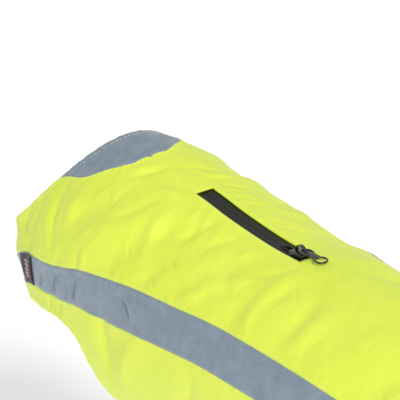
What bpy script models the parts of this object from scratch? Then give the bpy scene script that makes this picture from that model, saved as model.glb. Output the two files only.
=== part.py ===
"""A dog's reflective safety vest in size S, in the hollow shape it has when it is worn.

The cloth follows one smooth form, a fan of rings that turns from the tilted neckline
to upright rings round the ribs. Each panel is a patch of that form between two seams,
with a real wall and the largest folds. A zip lies in a window over the back, with a
slider and a pull that swings. The dog faces -X, its left side is -Y and +Z is up.
The origin lies inside the back over the withers, where the wearer carries the vest.
"""
import math

import bmesh
import bpy
import numpy as np
from mathutils import Matrix, Vector

MM = 0.001

# Driving dimensions, in millimetres.
WALL = 1.2                # cloth, turned double at its hems
GAP = 0.3                 # between pieces at a seam
WINDOW_HALF = 6.6         # half of the zip window's width
TAPE_MARGIN = 4.0         # zip tape under the cloth beside the window
TAPE_END = 5.0            # zip tape under the cloth past each end of the window
TAPE_WALL = 1.0
LABEL_WALL = 0.8
CHEST_GAP_ANGLE = 0.25    # degrees that keep left and right pieces apart at the chest
CHEST_SPREAD = 10.0       # degrees per row by which seams part at the chest, at least

SLIDER_FROM_END = 8.0     # middle of the slider to the window's rear end
SLIDER_LENGTH = 12.0
SLIDER_FRONT = 10.0       # width over its two mouths
SLIDER_REAR = 7.6
SLIDER_HEIGHT = 2.7
BAIL_LENGTH = 10.0        # the arch over the slider that holds the pull
BAIL_RISE = 4.3
BAIL_WIDTH = 2.0
BAIL_THICK = 0.9
AXIS_BACK = 2.0           # pull's axis behind the slider's middle
AXIS_UP = 4.3             # pull's axis above the tapes
PULL_WIRE = 1.5           # diameter of the pull's eye
EYE_LENGTH = 8.4          # between the middles of the wire
EYE_WIDTH = 6.4
TAB_LENGTH = 5.6
TAB_WIDTH = 4.6
TAB_THICK = 1.7
RING_WIRE = 1.3
RING_WIDTH = 7.6          # between the middles of the wire
PULL_DROOP = 2.0          # degrees that the resting pull hangs below the zip's line
BAIL_SUNK = 1.0           # how deep the bail's feet are cast into the slider
TAB_SUNK = 0.5            # how far the tab's ends are cast over the eye and the ring

STRAP_WALL = 1.2
STRAP_WIDTH = 38.0
STRAP_RING = 6.9          # ring that the belly strap follows
STRAP_FROM = 136.0        # degrees round on the left, where the strap is sewn on
STRAP_TO = 112.0          # degrees round on the right, where its free end lies
PATCH_FROM = 116.0        # hook-and-loop patches, degrees round on the right
PATCH_TO = 140.0
PATCH_WIDTH = 34.0
PATCH_WALL = 1.0
STRAP_LIFT_FROM = 150.0   # degrees round at which the strap starts to rise over the patches
STRAP_LIFT_OVER = 60.0    # degrees that the rise takes

DEGREES_PER_COLUMN = 4    # strap and patches
STRAP_ROWS = 4
TAPE_COLUMNS = 14
TAPE_ROWS = 3

COLUMNS_PER_ROW = 3       # mesh columns between two rows of SEAMS
BACK_ROWS = 14            # mesh rows from the neck or back line down to the stripe
STRIPE_ROWS = 3
BAND_ROWS = 8
NAPE_ROWS = 5
BAIL_STEPS = 12
MERGE = 0.02              # points nearer than this are one

# Rings of the worn form in mm, from the neckline to the rear hem: where each crosses
# the back's and the chest's middle line, its half width, the share of the way down at
# which it is widest, how far its sides bow to the rear, and how much wider it is above.
# narrow is the share by which it is narrower at the chest than at the sides. turn is how
# many degrees the vest sits round to the left, and slide moves the zip's line alone.
# top_x, top_z, low_x, low_z, half_width, widest, bow, lean, narrow, turn, slide
RINGS = np.array((
    (-62, 0.0, -156, -92.5, 53.5, 0.53, 11, -0.10, 0.12, 8.0, 0.0),
    (-48, 2.0, -158, -108.5, 58.0, 0.49, 11, -0.05, 0.14, 8.0, 0.0),
    (-27, 1.5, -155, -125.5, 64.5, 0.47, 10, 0.02, 0.13, 7.0, 0.0),
    (0, 0.0, -146, -142.5, 70.5, 0.46, 9, 0.06, 0.11, 4.5, 0.0),
    (29, -2.5, -122, -157.5, 75, 0.45, 7, 0.08, 0.07, 2.2, -0.7),
    (62, -5.5, -74, -167.5, 77, 0.44, 5, 0.08, 0.03, 2.1, -1.7),
    (102, -7.0, -11, -171.5, 78, 0.43, 3, 0.07, 0.0, 2.5, -3.6),
    (147, -4.5, 69, -167.5, 77, 0.42, 0, 0.06, 0.0, 2.5, -4.6),
    (202, -3.5, 152, -157.5, 75, 0.42, 0, 0.05, 0.0, 2.5, -3.0),
    (272, -5.5, 247, -143.5, 70, 0.42, 0, 0.05, 0.0, 2.5, -1.2),
    (338, -10.5, 333, -129.5, 64, 0.42, 0, 0.05, 0.0, 2.5, 0.0),
))
REAR_RING = len(RINGS) - 1.0
NARROW_OVER = 45.0        # degrees below the sides over which a ring gets narrower
SLIDE_ANGLE = 25.0        # degrees from the zip's line within which slide has an effect
FOLD_END = 0.35           # share of its height that a fold keeps at both ends
WALK_STEPS = 6            # steps of a walk across the form

# Seams on each half, from the chest's middle round the neck and along the back. Each row
# runs down the cloth: ring and angle at its top, at the stripe's upper edge and at the
# hem, with the stripe's width in mm. Angles are degrees from the back's middle line.
# top_ring, top_angle, stripe_ring, stripe_angle, stripe_width, hem_ring, hem_angle
SEAMS = np.array((
    (0.00, 180, 1.55, 180.0, 20, 3.50, 180),
    (0.00, 150, 1.58, 156.0, 20, 3.45, 160),
    (0.00, 122, 1.66, 134.0, 20, 3.40, 140),
    (0.00, 96, 1.85, 113.4, 20, 3.45, 122),
    (0.00, 74, 2.15, 98.0, 20, 3.70, 112),
    (0.00, 50, 2.60, 89.0, 20, 4.00, 107),
    (1.25, 37, 3.10, 82.4, 20.5, 4.30, 102),
    (1.75, 21, 3.60, 75.0, 22, 4.60, 100),
    (2.03, 10, 4.05, 67.5, 24, 4.95, 101),
    (2.10, 0, 4.50, 62.5, 26, 5.30, 108),
    (3.00, 0, 5.00, 57.5, 27, 5.65, 120),
    (3.90, 0, 5.60, 53.0, 27, 6.05, 134),
    (4.80, 0, 6.10, 50.8, 27, 6.50, 143),
    (5.70, 0, 6.65, 49.5, 27, 7.00, 147),
    (6.60, 0, 7.25, 49.0, 27, 7.50, 143),
    (7.55, 0, 7.95, 48.5, 27, 8.10, 128),
    (8.70, 0, 8.90, 48.5, 27, 9.00, 104),
    (10.0, 0, 10.0, 49.5, 27, 10.0, 84),
))
TIP_ROW = 5               # the nape panel's tips
NAPE_ROW = 9              # the nape panel's edge on the middle line
WINDOW_ROWS = (11, 14)    # the ends of the zip's window
LABEL_ROWS = (11 / 3, 5)  # the label's ends on the left stripe
REAR_ROW = len(SEAMS) - 1

# The largest folds: from ring and angle to ring and angle (negative is the left side),
# half width and height in mm, where a height below nothing is a trough.
# from_ring, from_angle, to_ring, to_angle, half_width, height
FOLDS = (
    (0.6, -78, 1.5, -112, 7, -2.6),
    (0.9, -98, 2.0, -122, 7, 2.4),
    (1.9, -84, 2.9, -106, 6, -1.8),
    (3.0, -32, 2.5, -66, 9, -2.2),
    (4.6, -22, 4.4, -58, 9, -2.4),
    (3.9, -18, 3.5, -58, 11, 2.4),
    (5.9, -18, 5.4, -48, 9, 1.8),
    (7.1, -14, 6.9, -52, 10, -2.0),
    (8.4, -8, 8.3, -60, 14, 2.2),
    (9.2, -30, 9.3, -80, 12, -2.0),
    (3.4, -72, 4.2, -96, 6, -1.8),
    (4.9, -66, 5.5, -92, 7, -1.6),
    (0.8, 80, 1.7, 118, 8, -2.4),
    (3.2, 30, 2.8, 70, 10, -2.2),
    (4.4, 24, 4.2, 66, 10, -2.0),
    (6.2, 28, 6.0, 80, 11, -2.0),
    (8.0, 16, 8.1, 70, 13, 2.2),
    (9.1, 40, 9.2, 90, 11, -1.8),
    (6.0, -70, 6.6, -128, 10, 1.8),
    (6.1, 72, 6.7, 124, 10, -1.8),
    (6.0, 54, 6.9, 56, 9, 2.6),
    (6.2, 24, 6.5, 42, 8, -1.8),
)


# --- The form -----------------------------------------------------------------------

def smooth_row(table, place):
    """Rows of a table read at fractional places, on a smooth curve through them."""
    last = len(table) - 1
    place = np.clip(place, 0, last)
    first = np.clip(np.floor(place).astype(int), 0, last - 1)
    share = (place - first)[..., None]
    start, end = table[first], table[first + 1]
    before = np.where(first[..., None] > 0, table[np.maximum(first - 1, 0)], 2 * start - end)
    after = np.where(first[..., None] < last - 1, table[np.minimum(first + 2, last)], 2 * end - start)
    return 0.5 * (2 * start + (end - before) * share
                  + (2 * before - 5 * start + 4 * end - after) * share ** 2
                  + (3 * start - before - 3 * end + after) * share ** 3)


def plain_form(ring, angle):
    """Points of the form with no folds, in mm. Angle 0 is the back, below 0 the left."""
    ring, angle = np.broadcast_arrays(np.asarray(ring, float), np.asarray(angle, float))
    columns = np.moveaxis(smooth_row(RINGS, ring), -1, 0)
    top_x, top_z, low_x, low_z, half_width, widest, bow, lean, narrow, turn, slide = columns
    turned = angle - turn * np.cos(np.radians(angle) / 2) ** 4
    turned = turned - slide * np.exp(-(angle / SLIDE_ANGLE) ** 2)
    side = np.where(turned < 0, -1.0, 1.0)
    round_angle = np.radians(np.abs(turned))
    depth = np.where(round_angle < math.pi / 2, widest, 1 - widest)
    down = widest - depth * np.cos(round_angle)
    below = np.clip((np.abs(turned) - 90) / NARROW_OVER, 0, 1)
    out = half_width * np.sin(round_angle) * (1 + lean * np.cos(round_angle))
    out = out * (1 - narrow * below ** 2 * (3 - 2 * below))
    across_x, across_z = low_x - top_x, low_z - top_z
    length = np.hypot(across_x, across_z)
    back = bow * np.sin(round_angle) ** 2
    x = top_x + across_x * down - back * across_z / length
    z = top_z + across_z * down + back * across_x / length
    return np.stack((x, side * out, z), -1)


def directions(ring, angle):
    """Along the back, round the body and out of the form, each for one unit or 1 mm."""
    small = 0.02
    along = (plain_form(ring + small, angle) - plain_form(ring - small, angle)) / (2 * small)
    round_body = (plain_form(ring, angle + small) - plain_form(ring, angle - small)) / (2 * small)
    edge = np.linalg.norm(along, axis=-1) < 1e-9
    along = np.where(edge[..., None], (1.0, 0.0, 0.0), along)
    out = np.cross(along, round_body)
    out /= np.linalg.norm(out, axis=-1, keepdims=True)
    return along, round_body, out


def fold_height(points):
    """How far the folds lift the form at each point, in mm."""
    height = np.zeros(points.shape[:-1])
    for from_ring, from_angle, to_ring, to_angle, half_width, rise in FOLDS:
        start = plain_form(from_ring, from_angle)
        run = plain_form(to_ring, to_angle) - start
        share = np.clip(((points - start) @ run) / (run @ run), 0, 1)
        away = np.linalg.norm(points - start - share[..., None] * run, axis=-1)
        ends = FOLD_END + (1 - FOLD_END) * np.sin(math.pi * share)
        height += rise * ends * np.exp(-(away / half_width) ** 2)
    return height


def cloth(ring, angle, lift=0.0):
    """Points of the cloth's inner side, or lift mm outside it."""
    points = plain_form(ring, angle)
    out = directions(ring, angle)[2]
    rise = fold_height(points) + lift
    return points + out * rise[..., None]


def step_down(ring, angle, row, distance):
    """Ring and angle after a walk of some mm across the seams, away from the neck."""
    for _ in range(WALK_STEPS):
        along, round_body, out = directions(ring, angle)
        ahead = stripe_edge(np.minimum(row + 0.05, REAR_ROW))
        behind = stripe_edge(np.maximum(row - 0.05, 0))
        seam = plain_form(*ahead) - plain_form(*behind)
        down = np.cross(out, seam)
        down /= np.linalg.norm(down, axis=-1, keepdims=True)
        move = down * (distance / WALK_STEPS)[..., None]
        # The move is split over the form's two directions, which needn't be square.
        aa = (along * along).sum(-1)
        ab = (along * round_body).sum(-1)
        bb = (round_body * round_body).sum(-1)
        ma, mb = (move * along).sum(-1), (move * round_body).sum(-1)
        scale = aa * bb - ab * ab
        ring = ring + (ma * bb - mb * ab) / scale
        angle = angle + (mb * aa - ma * ab) / scale
    return ring, angle


# --- Seams, on the half whose angles are above 0 ------------------------------------------

def top_edge(row):
    """Neckline, then the nape panel's edge, then the back's middle line."""
    columns = smooth_row(SEAMS, row)
    return np.maximum(columns[..., 0], 0), np.maximum(columns[..., 1], 0)


def stripe_edge(row):
    columns = smooth_row(SEAMS, row)
    return columns[..., 2], np.minimum(columns[..., 3], 180)


def stripe_low_edge(row):
    ring, angle = stripe_edge(row)
    ring, angle = step_down(ring, angle, row, smooth_row(SEAMS, row)[..., 4])
    ring = np.where(row >= REAR_ROW, REAR_RING, np.minimum(ring, REAR_RING))
    return ring, np.minimum(angle, 180 - CHEST_SPREAD * np.clip(row, 0, 2))


def hem_edge(row):
    columns = smooth_row(SEAMS, row)
    return columns[..., 5], np.minimum(columns[..., 6], 180)


def between(edge_a, edge_b, row, share, trim_a, trim_b, side):
    """Ring and signed angle part of the way between two seams, less a seam gap in mm."""
    ring_a, angle_a = edge_a(row)
    ring_b, angle_b = edge_b(row)
    length = np.linalg.norm(plain_form(ring_a, angle_a) - plain_form(ring_b, angle_b), axis=-1)
    length = np.maximum(length, 1.0)
    share = trim_a / length + share * (1 - (trim_a + trim_b) / length)
    return ring_a + (ring_b - ring_a) * share, side * (angle_a + (angle_b - angle_a) * share)


# --- Meshes and materials ---------------------------------------------------------------

def plain_material(name, colour, roughness, metallic=0.0):
    material = bpy.data.materials.new(name)
    material.use_nodes = True
    shader = material.node_tree.nodes["Principled BSDF"]
    shader.inputs["Base Color"].default_value = (*colour, 1)
    shader.inputs["Roughness"].default_value = roughness
    shader.inputs["Metallic"].default_value = metallic
    return material


def add_object(name, mesh_data, material):
    mesh = bpy.data.meshes.new(name)
    mesh_data.to_mesh(mesh)
    mesh_data.free()
    mesh.materials.append(material)
    mesh.shade_smooth()
    mesh.set_sharp_from_angle(angle=math.radians(50))
    obj = bpy.data.objects.new(name, mesh)
    bpy.context.scene.collection.objects.link(obj)
    return obj


def add_sheet(patch, columns, rows, place, flip=False, hole=None):
    """A grid whose u and v run from 0 to 1, laid on the form by place(u, v).

    hole holds the first and last column of a gap in its first row.
    """
    grid = bmesh.ops.create_grid(patch, x_segments=columns, y_segments=rows, size=1)["verts"]
    u = np.array([round((v.co.x + 1) / 2 * columns) / columns for v in grid])
    v = np.array([round((v.co.y + 1) / 2 * rows) / rows for v in grid])
    faces = {face for vertex in grid for face in vertex.link_faces}
    if flip:
        bmesh.ops.reverse_faces(patch, faces=list(faces))
    gap = []
    if hole:
        middles = {face: face.calc_center_median() for face in faces}
        gap = [face for face, middle in middles.items()
               if (middle.y + 1) / 2 * rows < 1 and hole[0] < (middle.x + 1) / 2 * columns < hole[1]]
    for vertex, point in zip(grid, place(u, v)):
        vertex.co = Vector(point) * MM
    bmesh.ops.delete(patch, geom=gap, context="FACES")


def thicken(obj, wall):
    """Gives the sheet its wall on the outer side."""
    solid = obj.modifiers.new("wall", "SOLIDIFY")
    solid.thickness = wall * MM
    solid.offset = 1.0
    solid.use_even_offset = True


# --- Panels -----------------------------------------------------------------------------

def degrees_across(ring, distance):
    """Angle that some mm round the body from the middle line take up."""
    return distance / np.linalg.norm(directions(ring, 0 * ring)[1], axis=-1)


def back_panel_place(u, v, side):
    """The back panel's points. Its first mesh row is a line beside the window."""
    row = u * REAR_ROW
    trim = np.where((row > TIP_ROW) & (row < NAPE_ROW + 0.01), GAP / 2, 0.0)
    top_ring, top_angle = between(top_edge, stripe_edge, row, 0 * v, trim, GAP / 2, 1)
    low_ring, low_angle = between(top_edge, stripe_edge, row, 0 * v + 1, trim, GAP / 2, 1)
    length = np.linalg.norm(plain_form(low_ring, low_angle) - plain_form(top_ring, top_angle), axis=-1)
    first_ring = top_ring + (low_ring - top_ring) * WINDOW_HALF / length
    first_angle = top_angle + (low_angle - top_angle) * WINDOW_HALF / length
    # Along the zip that line is square to the back's middle line.
    square = np.clip((row - NAPE_ROW) / (WINDOW_ROWS[0] - NAPE_ROW), 0, 1)
    first_ring += (top_ring - first_ring) * square
    first_angle += (degrees_across(top_ring, WINDOW_HALF) - first_angle) * square
    near = np.clip(v * BACK_ROWS, 0, 1)
    far = np.clip((v * BACK_ROWS - 1) / (BACK_ROWS - 1), 0, 1)
    ring = top_ring + (first_ring - top_ring) * near + (low_ring - first_ring) * far
    angle = top_angle + (first_angle - top_angle) * near + (low_angle - first_angle) * far
    return cloth(ring, side * angle)


def make_back_panel(material):
    """Fluorescent cloth from stripe to stripe, round the chest, with the zip's window."""
    patch = bmesh.new()
    window = [row * COLUMNS_PER_ROW for row in WINDOW_ROWS]
    for side in (-1, 1):
        add_sheet(patch, REAR_ROW * COLUMNS_PER_ROW, BACK_ROWS,
                  lambda u, v, side=side: back_panel_place(u, v, side), flip=side < 0, hole=window)
    bmesh.ops.remove_doubles(patch, verts=patch.verts, dist=MERGE * MM)
    thicken(add_object("back_panel", patch, material), WALL)


def make_nape_panel(material):
    """Reflective crescent over the nape."""
    patch = bmesh.new()

    def place(u, v):
        side = np.sign(u - 0.5)
        row = TIP_ROW + (NAPE_ROW - TIP_ROW) * (1 - np.abs(2 * u - 1))
        ring, angle = top_edge(row)
        point = plain_form(ring, angle)
        length = np.maximum(np.linalg.norm(point - plain_form(0 * ring, angle), axis=-1), 1e-6)
        share = v * np.maximum(1 - GAP / 2 / length, 0)
        return cloth(ring * share, side * angle)
    columns = 2 * (NAPE_ROW - TIP_ROW) * COLUMNS_PER_ROW
    add_sheet(patch, columns, NAPE_ROWS, place, flip=True)
    bmesh.ops.remove_doubles(patch, verts=patch.verts, dist=MERGE * MM)
    thicken(add_object("nape_panel", patch, material), WALL)


def make_side_piece(name, upper, lower, rows, side, material):
    """A stripe or a lower band, on one side."""
    patch = bmesh.new()

    def place(u, v):
        row = u * REAR_ROW
        hem_trim = 0.0 if lower is hem_edge else GAP / 2
        ring, angle = between(upper, lower, row, v, GAP / 2, hem_trim, side)
        limit = 180 - CHEST_GAP_ANGLE
        return cloth(ring, np.clip(angle, -limit, limit))
    add_sheet(patch, REAR_ROW * COLUMNS_PER_ROW, rows, place, flip=side < 0)
    thicken(add_object(name, patch, material), WALL)


def make_label(material):
    """Small woven label on the left stripe, laid on the stripe's own points."""
    patch = bmesh.new()
    first, last = LABEL_ROWS

    def place(u, v):
        row = first + u * (last - first)
        ring, angle = between(stripe_edge, stripe_low_edge, row, v, 2 * GAP, 2 * GAP, -1)
        return cloth(ring, angle, WALL + GAP)
    add_sheet(patch, round((last - first) * COLUMNS_PER_ROW), STRIPE_ROWS, place, flip=True)
    thicken(add_object("label", patch, material), LABEL_WALL)


# --- Belly strap ------------------------------------------------------------------------

def add_strap_piece(name, start, end, width, lift_from, lift_to, wall, material):
    """A band round the belly, from start on the left on past 180 degrees to the right."""
    patch = bmesh.new()

    def place(u, v):
        turn = start + u * (end - start)
        mm_per_ring = np.linalg.norm(directions(STRAP_RING, 180.0)[0])
        ring = STRAP_RING + (v - 0.5) * width / mm_per_ring
        rise = np.clip((turn - STRAP_LIFT_FROM) / STRAP_LIFT_OVER, 0, 1)
        lift = lift_from + (lift_to - lift_from) * rise
        return cloth(ring, np.where(turn < 180, -turn, 360 - turn), lift)
    add_sheet(patch, round((end - start) / DEGREES_PER_COLUMN), STRAP_ROWS, place)
    thicken(add_object(name, patch, material), wall)


def make_belly_strap(cloth_material, patch_material):
    """Strap sewn to the left side, with a hook patch that grips a loop patch on the right."""
    on_cloth = WALL + GAP
    hook = on_cloth + PATCH_WALL + GAP
    on_patches = hook + PATCH_WALL + GAP
    turn_from, turn_to = 360 - PATCH_TO, 360 - PATCH_FROM
    add_strap_piece("belly_strap", STRAP_FROM, 360 - STRAP_TO, STRAP_WIDTH,
                    on_cloth, on_patches, STRAP_WALL, cloth_material)
    add_strap_piece("loop_patch", turn_from, turn_to, PATCH_WIDTH,
                    on_cloth, on_cloth, PATCH_WALL, patch_material)
    add_strap_piece("hook_patch", turn_from, turn_to, PATCH_WIDTH,
                    hook, hook, PATCH_WALL, patch_material)


# --- Zip --------------------------------------------------------------------------------

def window_rings():
    """Rings on the middle line where the zip's window starts and ends."""
    return top_edge(np.array(WINDOW_ROWS, float))[0]


def make_zip_tapes(material):
    """Two coated tapes that meet in the middle of the window, under the cloth."""
    front, rear = window_rings()
    mm_per_ring = np.linalg.norm(directions(np.array((front, rear)), np.zeros(2))[0], axis=-1)
    start, end = front - TAPE_END / mm_per_ring[0], rear + TAPE_END / mm_per_ring[1]
    for side, word in ((-1, "left"), (1, "right")):
        def place(u, v, side=side):
            ring = start + u * (end - start)
            distance = GAP / 2 + v * (WINDOW_HALF + TAPE_MARGIN - GAP / 2)
            return cloth(ring, side * degrees_across(ring, distance), -GAP - TAPE_WALL)
        patch = bmesh.new()
        add_sheet(patch, TAPE_COLUMNS, TAPE_ROWS, place, flip=side < 0)
        thicken(add_object(f"zip_tape_{word}", patch, material), TAPE_WALL)


def slider_frame():
    """Matrix at the middle of the slider: X to the rear along the zip, Z out of the cloth."""
    rear = window_rings()[1]
    mm_per_ring = np.linalg.norm(directions(rear, 0.0)[0])
    ring = rear - SLIDER_FROM_END / mm_per_ring
    along, round_body, out = directions(ring, 0.0)
    x = Vector(along).normalized()
    z = Vector(out)
    y = z.cross(x)
    place = Matrix((x, y, z)).transposed().to_4x4()
    place.translation = Vector(cloth(ring, 0.0)) * MM
    return place


def move_mesh(patch, matrix):
    bmesh.ops.transform(patch, matrix=matrix, verts=patch.verts)


def block(size, middle, bevel):
    """A bevelled block, all in mm."""
    patch = bmesh.new()
    bmesh.ops.create_cube(patch, size=1)
    move_mesh(patch, Matrix.Translation(Vector(middle) * MM) @ Matrix.Diagonal((*(Vector(size) * MM), 1)))
    bmesh.ops.bevel(patch, geom=patch.edges, offset=bevel * MM, segments=2, profile=0.5,
                    affect="EDGES", material=-1)
    return patch


def wire_loop(length, width, wire, middle, steps=24, sides=8):
    """A closed oval of round wire lying flat, its length along X, all in mm."""
    patch = bmesh.new()
    turn = Matrix.Rotation(math.radians(90), 4, "X")
    section = bmesh.ops.create_circle(patch, segments=sides, radius=wire / 2 * MM, matrix=turn)["verts"]
    radius = 1.0
    bmesh.ops.translate(patch, verts=section, vec=(radius, 0, 0))
    bmesh.ops.spin(patch, geom=list(patch.edges), cent=(0, 0, 0), axis=(0, 0, 1),
                   angle=math.tau, steps=steps, use_merge=True)
    for vertex in patch.verts:
        flat = Vector((vertex.co.x, vertex.co.y, 0))
        heading = flat.normalized()
        off = flat.length - radius
        oval = Vector((heading.x * length / 2, heading.y * width / 2, 0)) * MM
        outward = Vector((heading.x / length, heading.y / width, 0)).normalized()
        vertex.co = oval + outward * off + Vector((0, 0, vertex.co.z)) + Vector(middle) * MM
    bmesh.ops.recalc_face_normals(patch, faces=patch.faces)
    return patch


def bail_arch():
    """The slider's arch: a flat bar bent over from front to rear, its feet in the body."""
    patch = bmesh.new()
    feet = SLIDER_HEIGHT - BAIL_SUNK
    section = []
    for off, y in ((0, -1), (0, 1), (-1, 1), (-1, -1)):
        x = BAIL_LENGTH / 2 + off * BAIL_THICK
        section.append(patch.verts.new((x * MM, y * BAIL_WIDTH / 2 * MM, 0)))
    face = patch.faces.new(section)
    bmesh.ops.spin(patch, geom=[face], cent=(0, 0, 0), axis=(0, -1, 0), angle=math.pi,
                   steps=BAIL_STEPS)
    # The half circle is pressed down to the bail's height over the feet.
    rise = (SLIDER_HEIGHT + BAIL_RISE - feet) / (BAIL_LENGTH / 2)
    move_mesh(patch, Matrix.Translation((0, 0, feet * MM)) @ Matrix.Diagonal((1, 1, rise, 1)))
    bmesh.ops.recalc_face_normals(patch, faces=patch.faces)
    return patch


def add_cutter(name, patch, matrix, material):
    """A solid that a Boolean joins to another, and that isn't a piece itself."""
    move_mesh(patch, matrix)
    obj = add_object(name, patch, material)
    obj.hide_render = True
    obj.display_type = "WIRE"
    return obj


def join(obj, guide):
    union = obj.modifiers.new(guide.name, "BOOLEAN")
    union.operation = "UNION"
    union.object = guide


def make_slider(frame, material):
    body = block((SLIDER_LENGTH, SLIDER_FRONT, SLIDER_HEIGHT), (0, 0, SLIDER_HEIGHT / 2), 0.7)
    for vertex in body.verts:
        # Narrower to the rear than at its two mouths in front.
        share = vertex.co.x / (SLIDER_LENGTH * MM) + 0.5
        vertex.co.y *= 1 - share * (1 - SLIDER_REAR / SLIDER_FRONT)
    move_mesh(body, frame)
    slider = add_object("zip_slider", body, material)
    join(slider, add_cutter("bail_guide", bail_arch(), frame, material))


def make_pull(frame, material):
    """Eye, tab and ring in one piece, with its origin on the axis in the slider's bail."""
    axis = frame @ Matrix.Translation(Vector((AXIS_BACK, 0, AXIS_UP)) * MM)
    droop = axis @ Matrix.Rotation(math.radians(PULL_DROOP), 4, "Y")
    tab_middle = EYE_LENGTH + TAB_LENGTH / 2 - TAB_SUNK
    ring_middle = EYE_LENGTH + TAB_LENGTH - 2 * TAB_SUNK + RING_WIDTH / 2
    eye = wire_loop(EYE_LENGTH, EYE_WIDTH, PULL_WIRE, (EYE_LENGTH / 2, 0, 0))
    tab = block((TAB_LENGTH, TAB_WIDTH, TAB_THICK), (tab_middle, 0, 0), 0.4)
    ring = wire_loop(RING_WIDTH, RING_WIDTH, RING_WIRE, (ring_middle, 0, 0))
    pull = add_object("zip_pull", eye, material)
    pull.matrix_world = droop
    join(pull, add_cutter("tab_guide", tab, droop, material))
    join(pull, add_cutter("ring_guide", ring, droop, material))


# --- The run ----------------------------------------------------------------------------

def main():
    for obj in list(bpy.data.objects):
        bpy.data.objects.remove(obj, do_unlink=True)
    yellow = plain_material("fluorescent_yellow_cloth", (0.72, 0.88, 0.10), 0.75)
    grey = plain_material("reflective_grey_cloth", (0.23, 0.28, 0.32), 0.55)
    film = plain_material("zip_film", (0.025, 0.025, 0.023), 0.6)
    black_metal = plain_material("black_lacquered_zinc", (0.02, 0.02, 0.02), 0.3, 0.6)
    woven = plain_material("black_woven_label", (0.02, 0.02, 0.02), 0.8)
    webbing = plain_material("black_webbing", (0.03, 0.03, 0.03), 0.8)
    make_back_panel(yellow)
    make_nape_panel(grey)
    for side, word in ((-1, "left"), (1, "right")):
        make_side_piece(f"stripe_{word}", stripe_edge, stripe_low_edge, STRIPE_ROWS, side, grey)
        make_side_piece(f"lower_band_{word}", stripe_low_edge, hem_edge, BAND_ROWS, side, yellow)
    make_label(woven)
    make_belly_strap(yellow, webbing)
    make_zip_tapes(film)
    frame = slider_frame()
    make_slider(frame, black_metal)
    make_pull(frame, black_metal)


main()
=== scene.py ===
# %% [markdown]
# # A dog's reflective safety vest
# The vest is fluorescent yellow cloth with grey reflective stripes, a zip over a leash
# opening on the back and a belly strap. The solids of the model are already right in size
# and place. Here each cloth piece becomes a fine shell on the same form, with its creases,
# hems and stitches, and the zip gets its film, teeth, slider and pull.

import math

import bmesh
import bpy
import numpy as np
from mathutils import Matrix, Vector


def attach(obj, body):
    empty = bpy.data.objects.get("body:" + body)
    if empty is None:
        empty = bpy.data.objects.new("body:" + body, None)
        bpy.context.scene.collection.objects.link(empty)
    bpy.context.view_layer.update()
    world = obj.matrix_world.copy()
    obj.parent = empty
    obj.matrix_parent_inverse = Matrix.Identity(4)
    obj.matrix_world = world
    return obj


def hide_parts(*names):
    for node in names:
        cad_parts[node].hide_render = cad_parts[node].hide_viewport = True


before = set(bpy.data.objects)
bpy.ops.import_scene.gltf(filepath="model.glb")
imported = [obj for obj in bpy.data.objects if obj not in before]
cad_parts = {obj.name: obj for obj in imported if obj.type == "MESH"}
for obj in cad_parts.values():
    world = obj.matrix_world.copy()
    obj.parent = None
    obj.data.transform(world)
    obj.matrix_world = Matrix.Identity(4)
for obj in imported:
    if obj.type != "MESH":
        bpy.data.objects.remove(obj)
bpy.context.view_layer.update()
MM = 0.001
print("nodes:", sorted(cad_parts))

# %% [markdown]
# ## The form of the worn cloth
# A worn vest is a bent tube. It is described by rings that fan out from the tilted neckline
# to upright rings round the ribs, and a point lies at a ring and an angle round it. Reading
# the table on a smooth curve gives one form without steps, and every piece is cut from it,
# so the pieces always meet at their seams.

# %% Rings of the form, in mm
# top_x, top_z, low_x, low_z, half_width, widest, bow, lean, narrow, turn, slide
RINGS = np.array((
    (-62, 0.0, -156, -92.5, 53.5, 0.53, 11, -0.10, 0.12, 8.0, 0.0),
    (-48, 2.0, -158, -108.5, 58.0, 0.49, 11, -0.05, 0.14, 8.0, 0.0),
    (-27, 1.5, -155, -125.5, 64.5, 0.47, 10, 0.02, 0.13, 7.0, 0.0),
    (0, 0.0, -146, -142.5, 70.5, 0.46, 9, 0.06, 0.11, 4.5, 0.0),
    (29, -2.5, -122, -157.5, 75, 0.45, 7, 0.08, 0.07, 2.2, -0.7),
    (62, -5.5, -74, -167.5, 77, 0.44, 5, 0.08, 0.03, 2.1, -1.7),
    (102, -7.0, -11, -171.5, 78, 0.43, 3, 0.07, 0.0, 2.5, -3.6),
    (147, -4.5, 69, -167.5, 77, 0.42, 0, 0.06, 0.0, 2.5, -4.6),
    (202, -3.5, 152, -157.5, 75, 0.42, 0, 0.05, 0.0, 2.5, -3.0),
    (272, -5.5, 247, -143.5, 70, 0.42, 0, 0.05, 0.0, 2.5, -1.2),
    (338, -10.5, 333, -129.5, 64, 0.42, 0, 0.05, 0.0, 2.5, 0.0),
))
REAR_RING = len(RINGS) - 1.0
REAR_MM_PER_RING = 66.0    # along the back, beside the rear hem
NARROW_OVER = 45.0        # degrees below the sides over which a ring gets narrower
SLIDE_ANGLE = 25.0        # degrees from the zip's line within which slide has an effect


def smooth_row(table, place):
    """Rows of a table read at fractional places, on a smooth curve through them."""
    last = len(table) - 1
    place = np.clip(place, 0, last)
    first = np.clip(np.floor(place).astype(int), 0, last - 1)
    share = (place - first)[..., None]
    start, end = table[first], table[first + 1]
    before = np.where(first[..., None] > 0, table[np.maximum(first - 1, 0)], 2 * start - end)
    after = np.where(first[..., None] < last - 1, table[np.minimum(first + 2, last)], 2 * end - start)
    return 0.5 * (2 * start + (end - before) * share
                  + (2 * before - 5 * start + 4 * end - after) * share ** 2
                  + (3 * start - before - 3 * end + after) * share ** 3)


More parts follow.
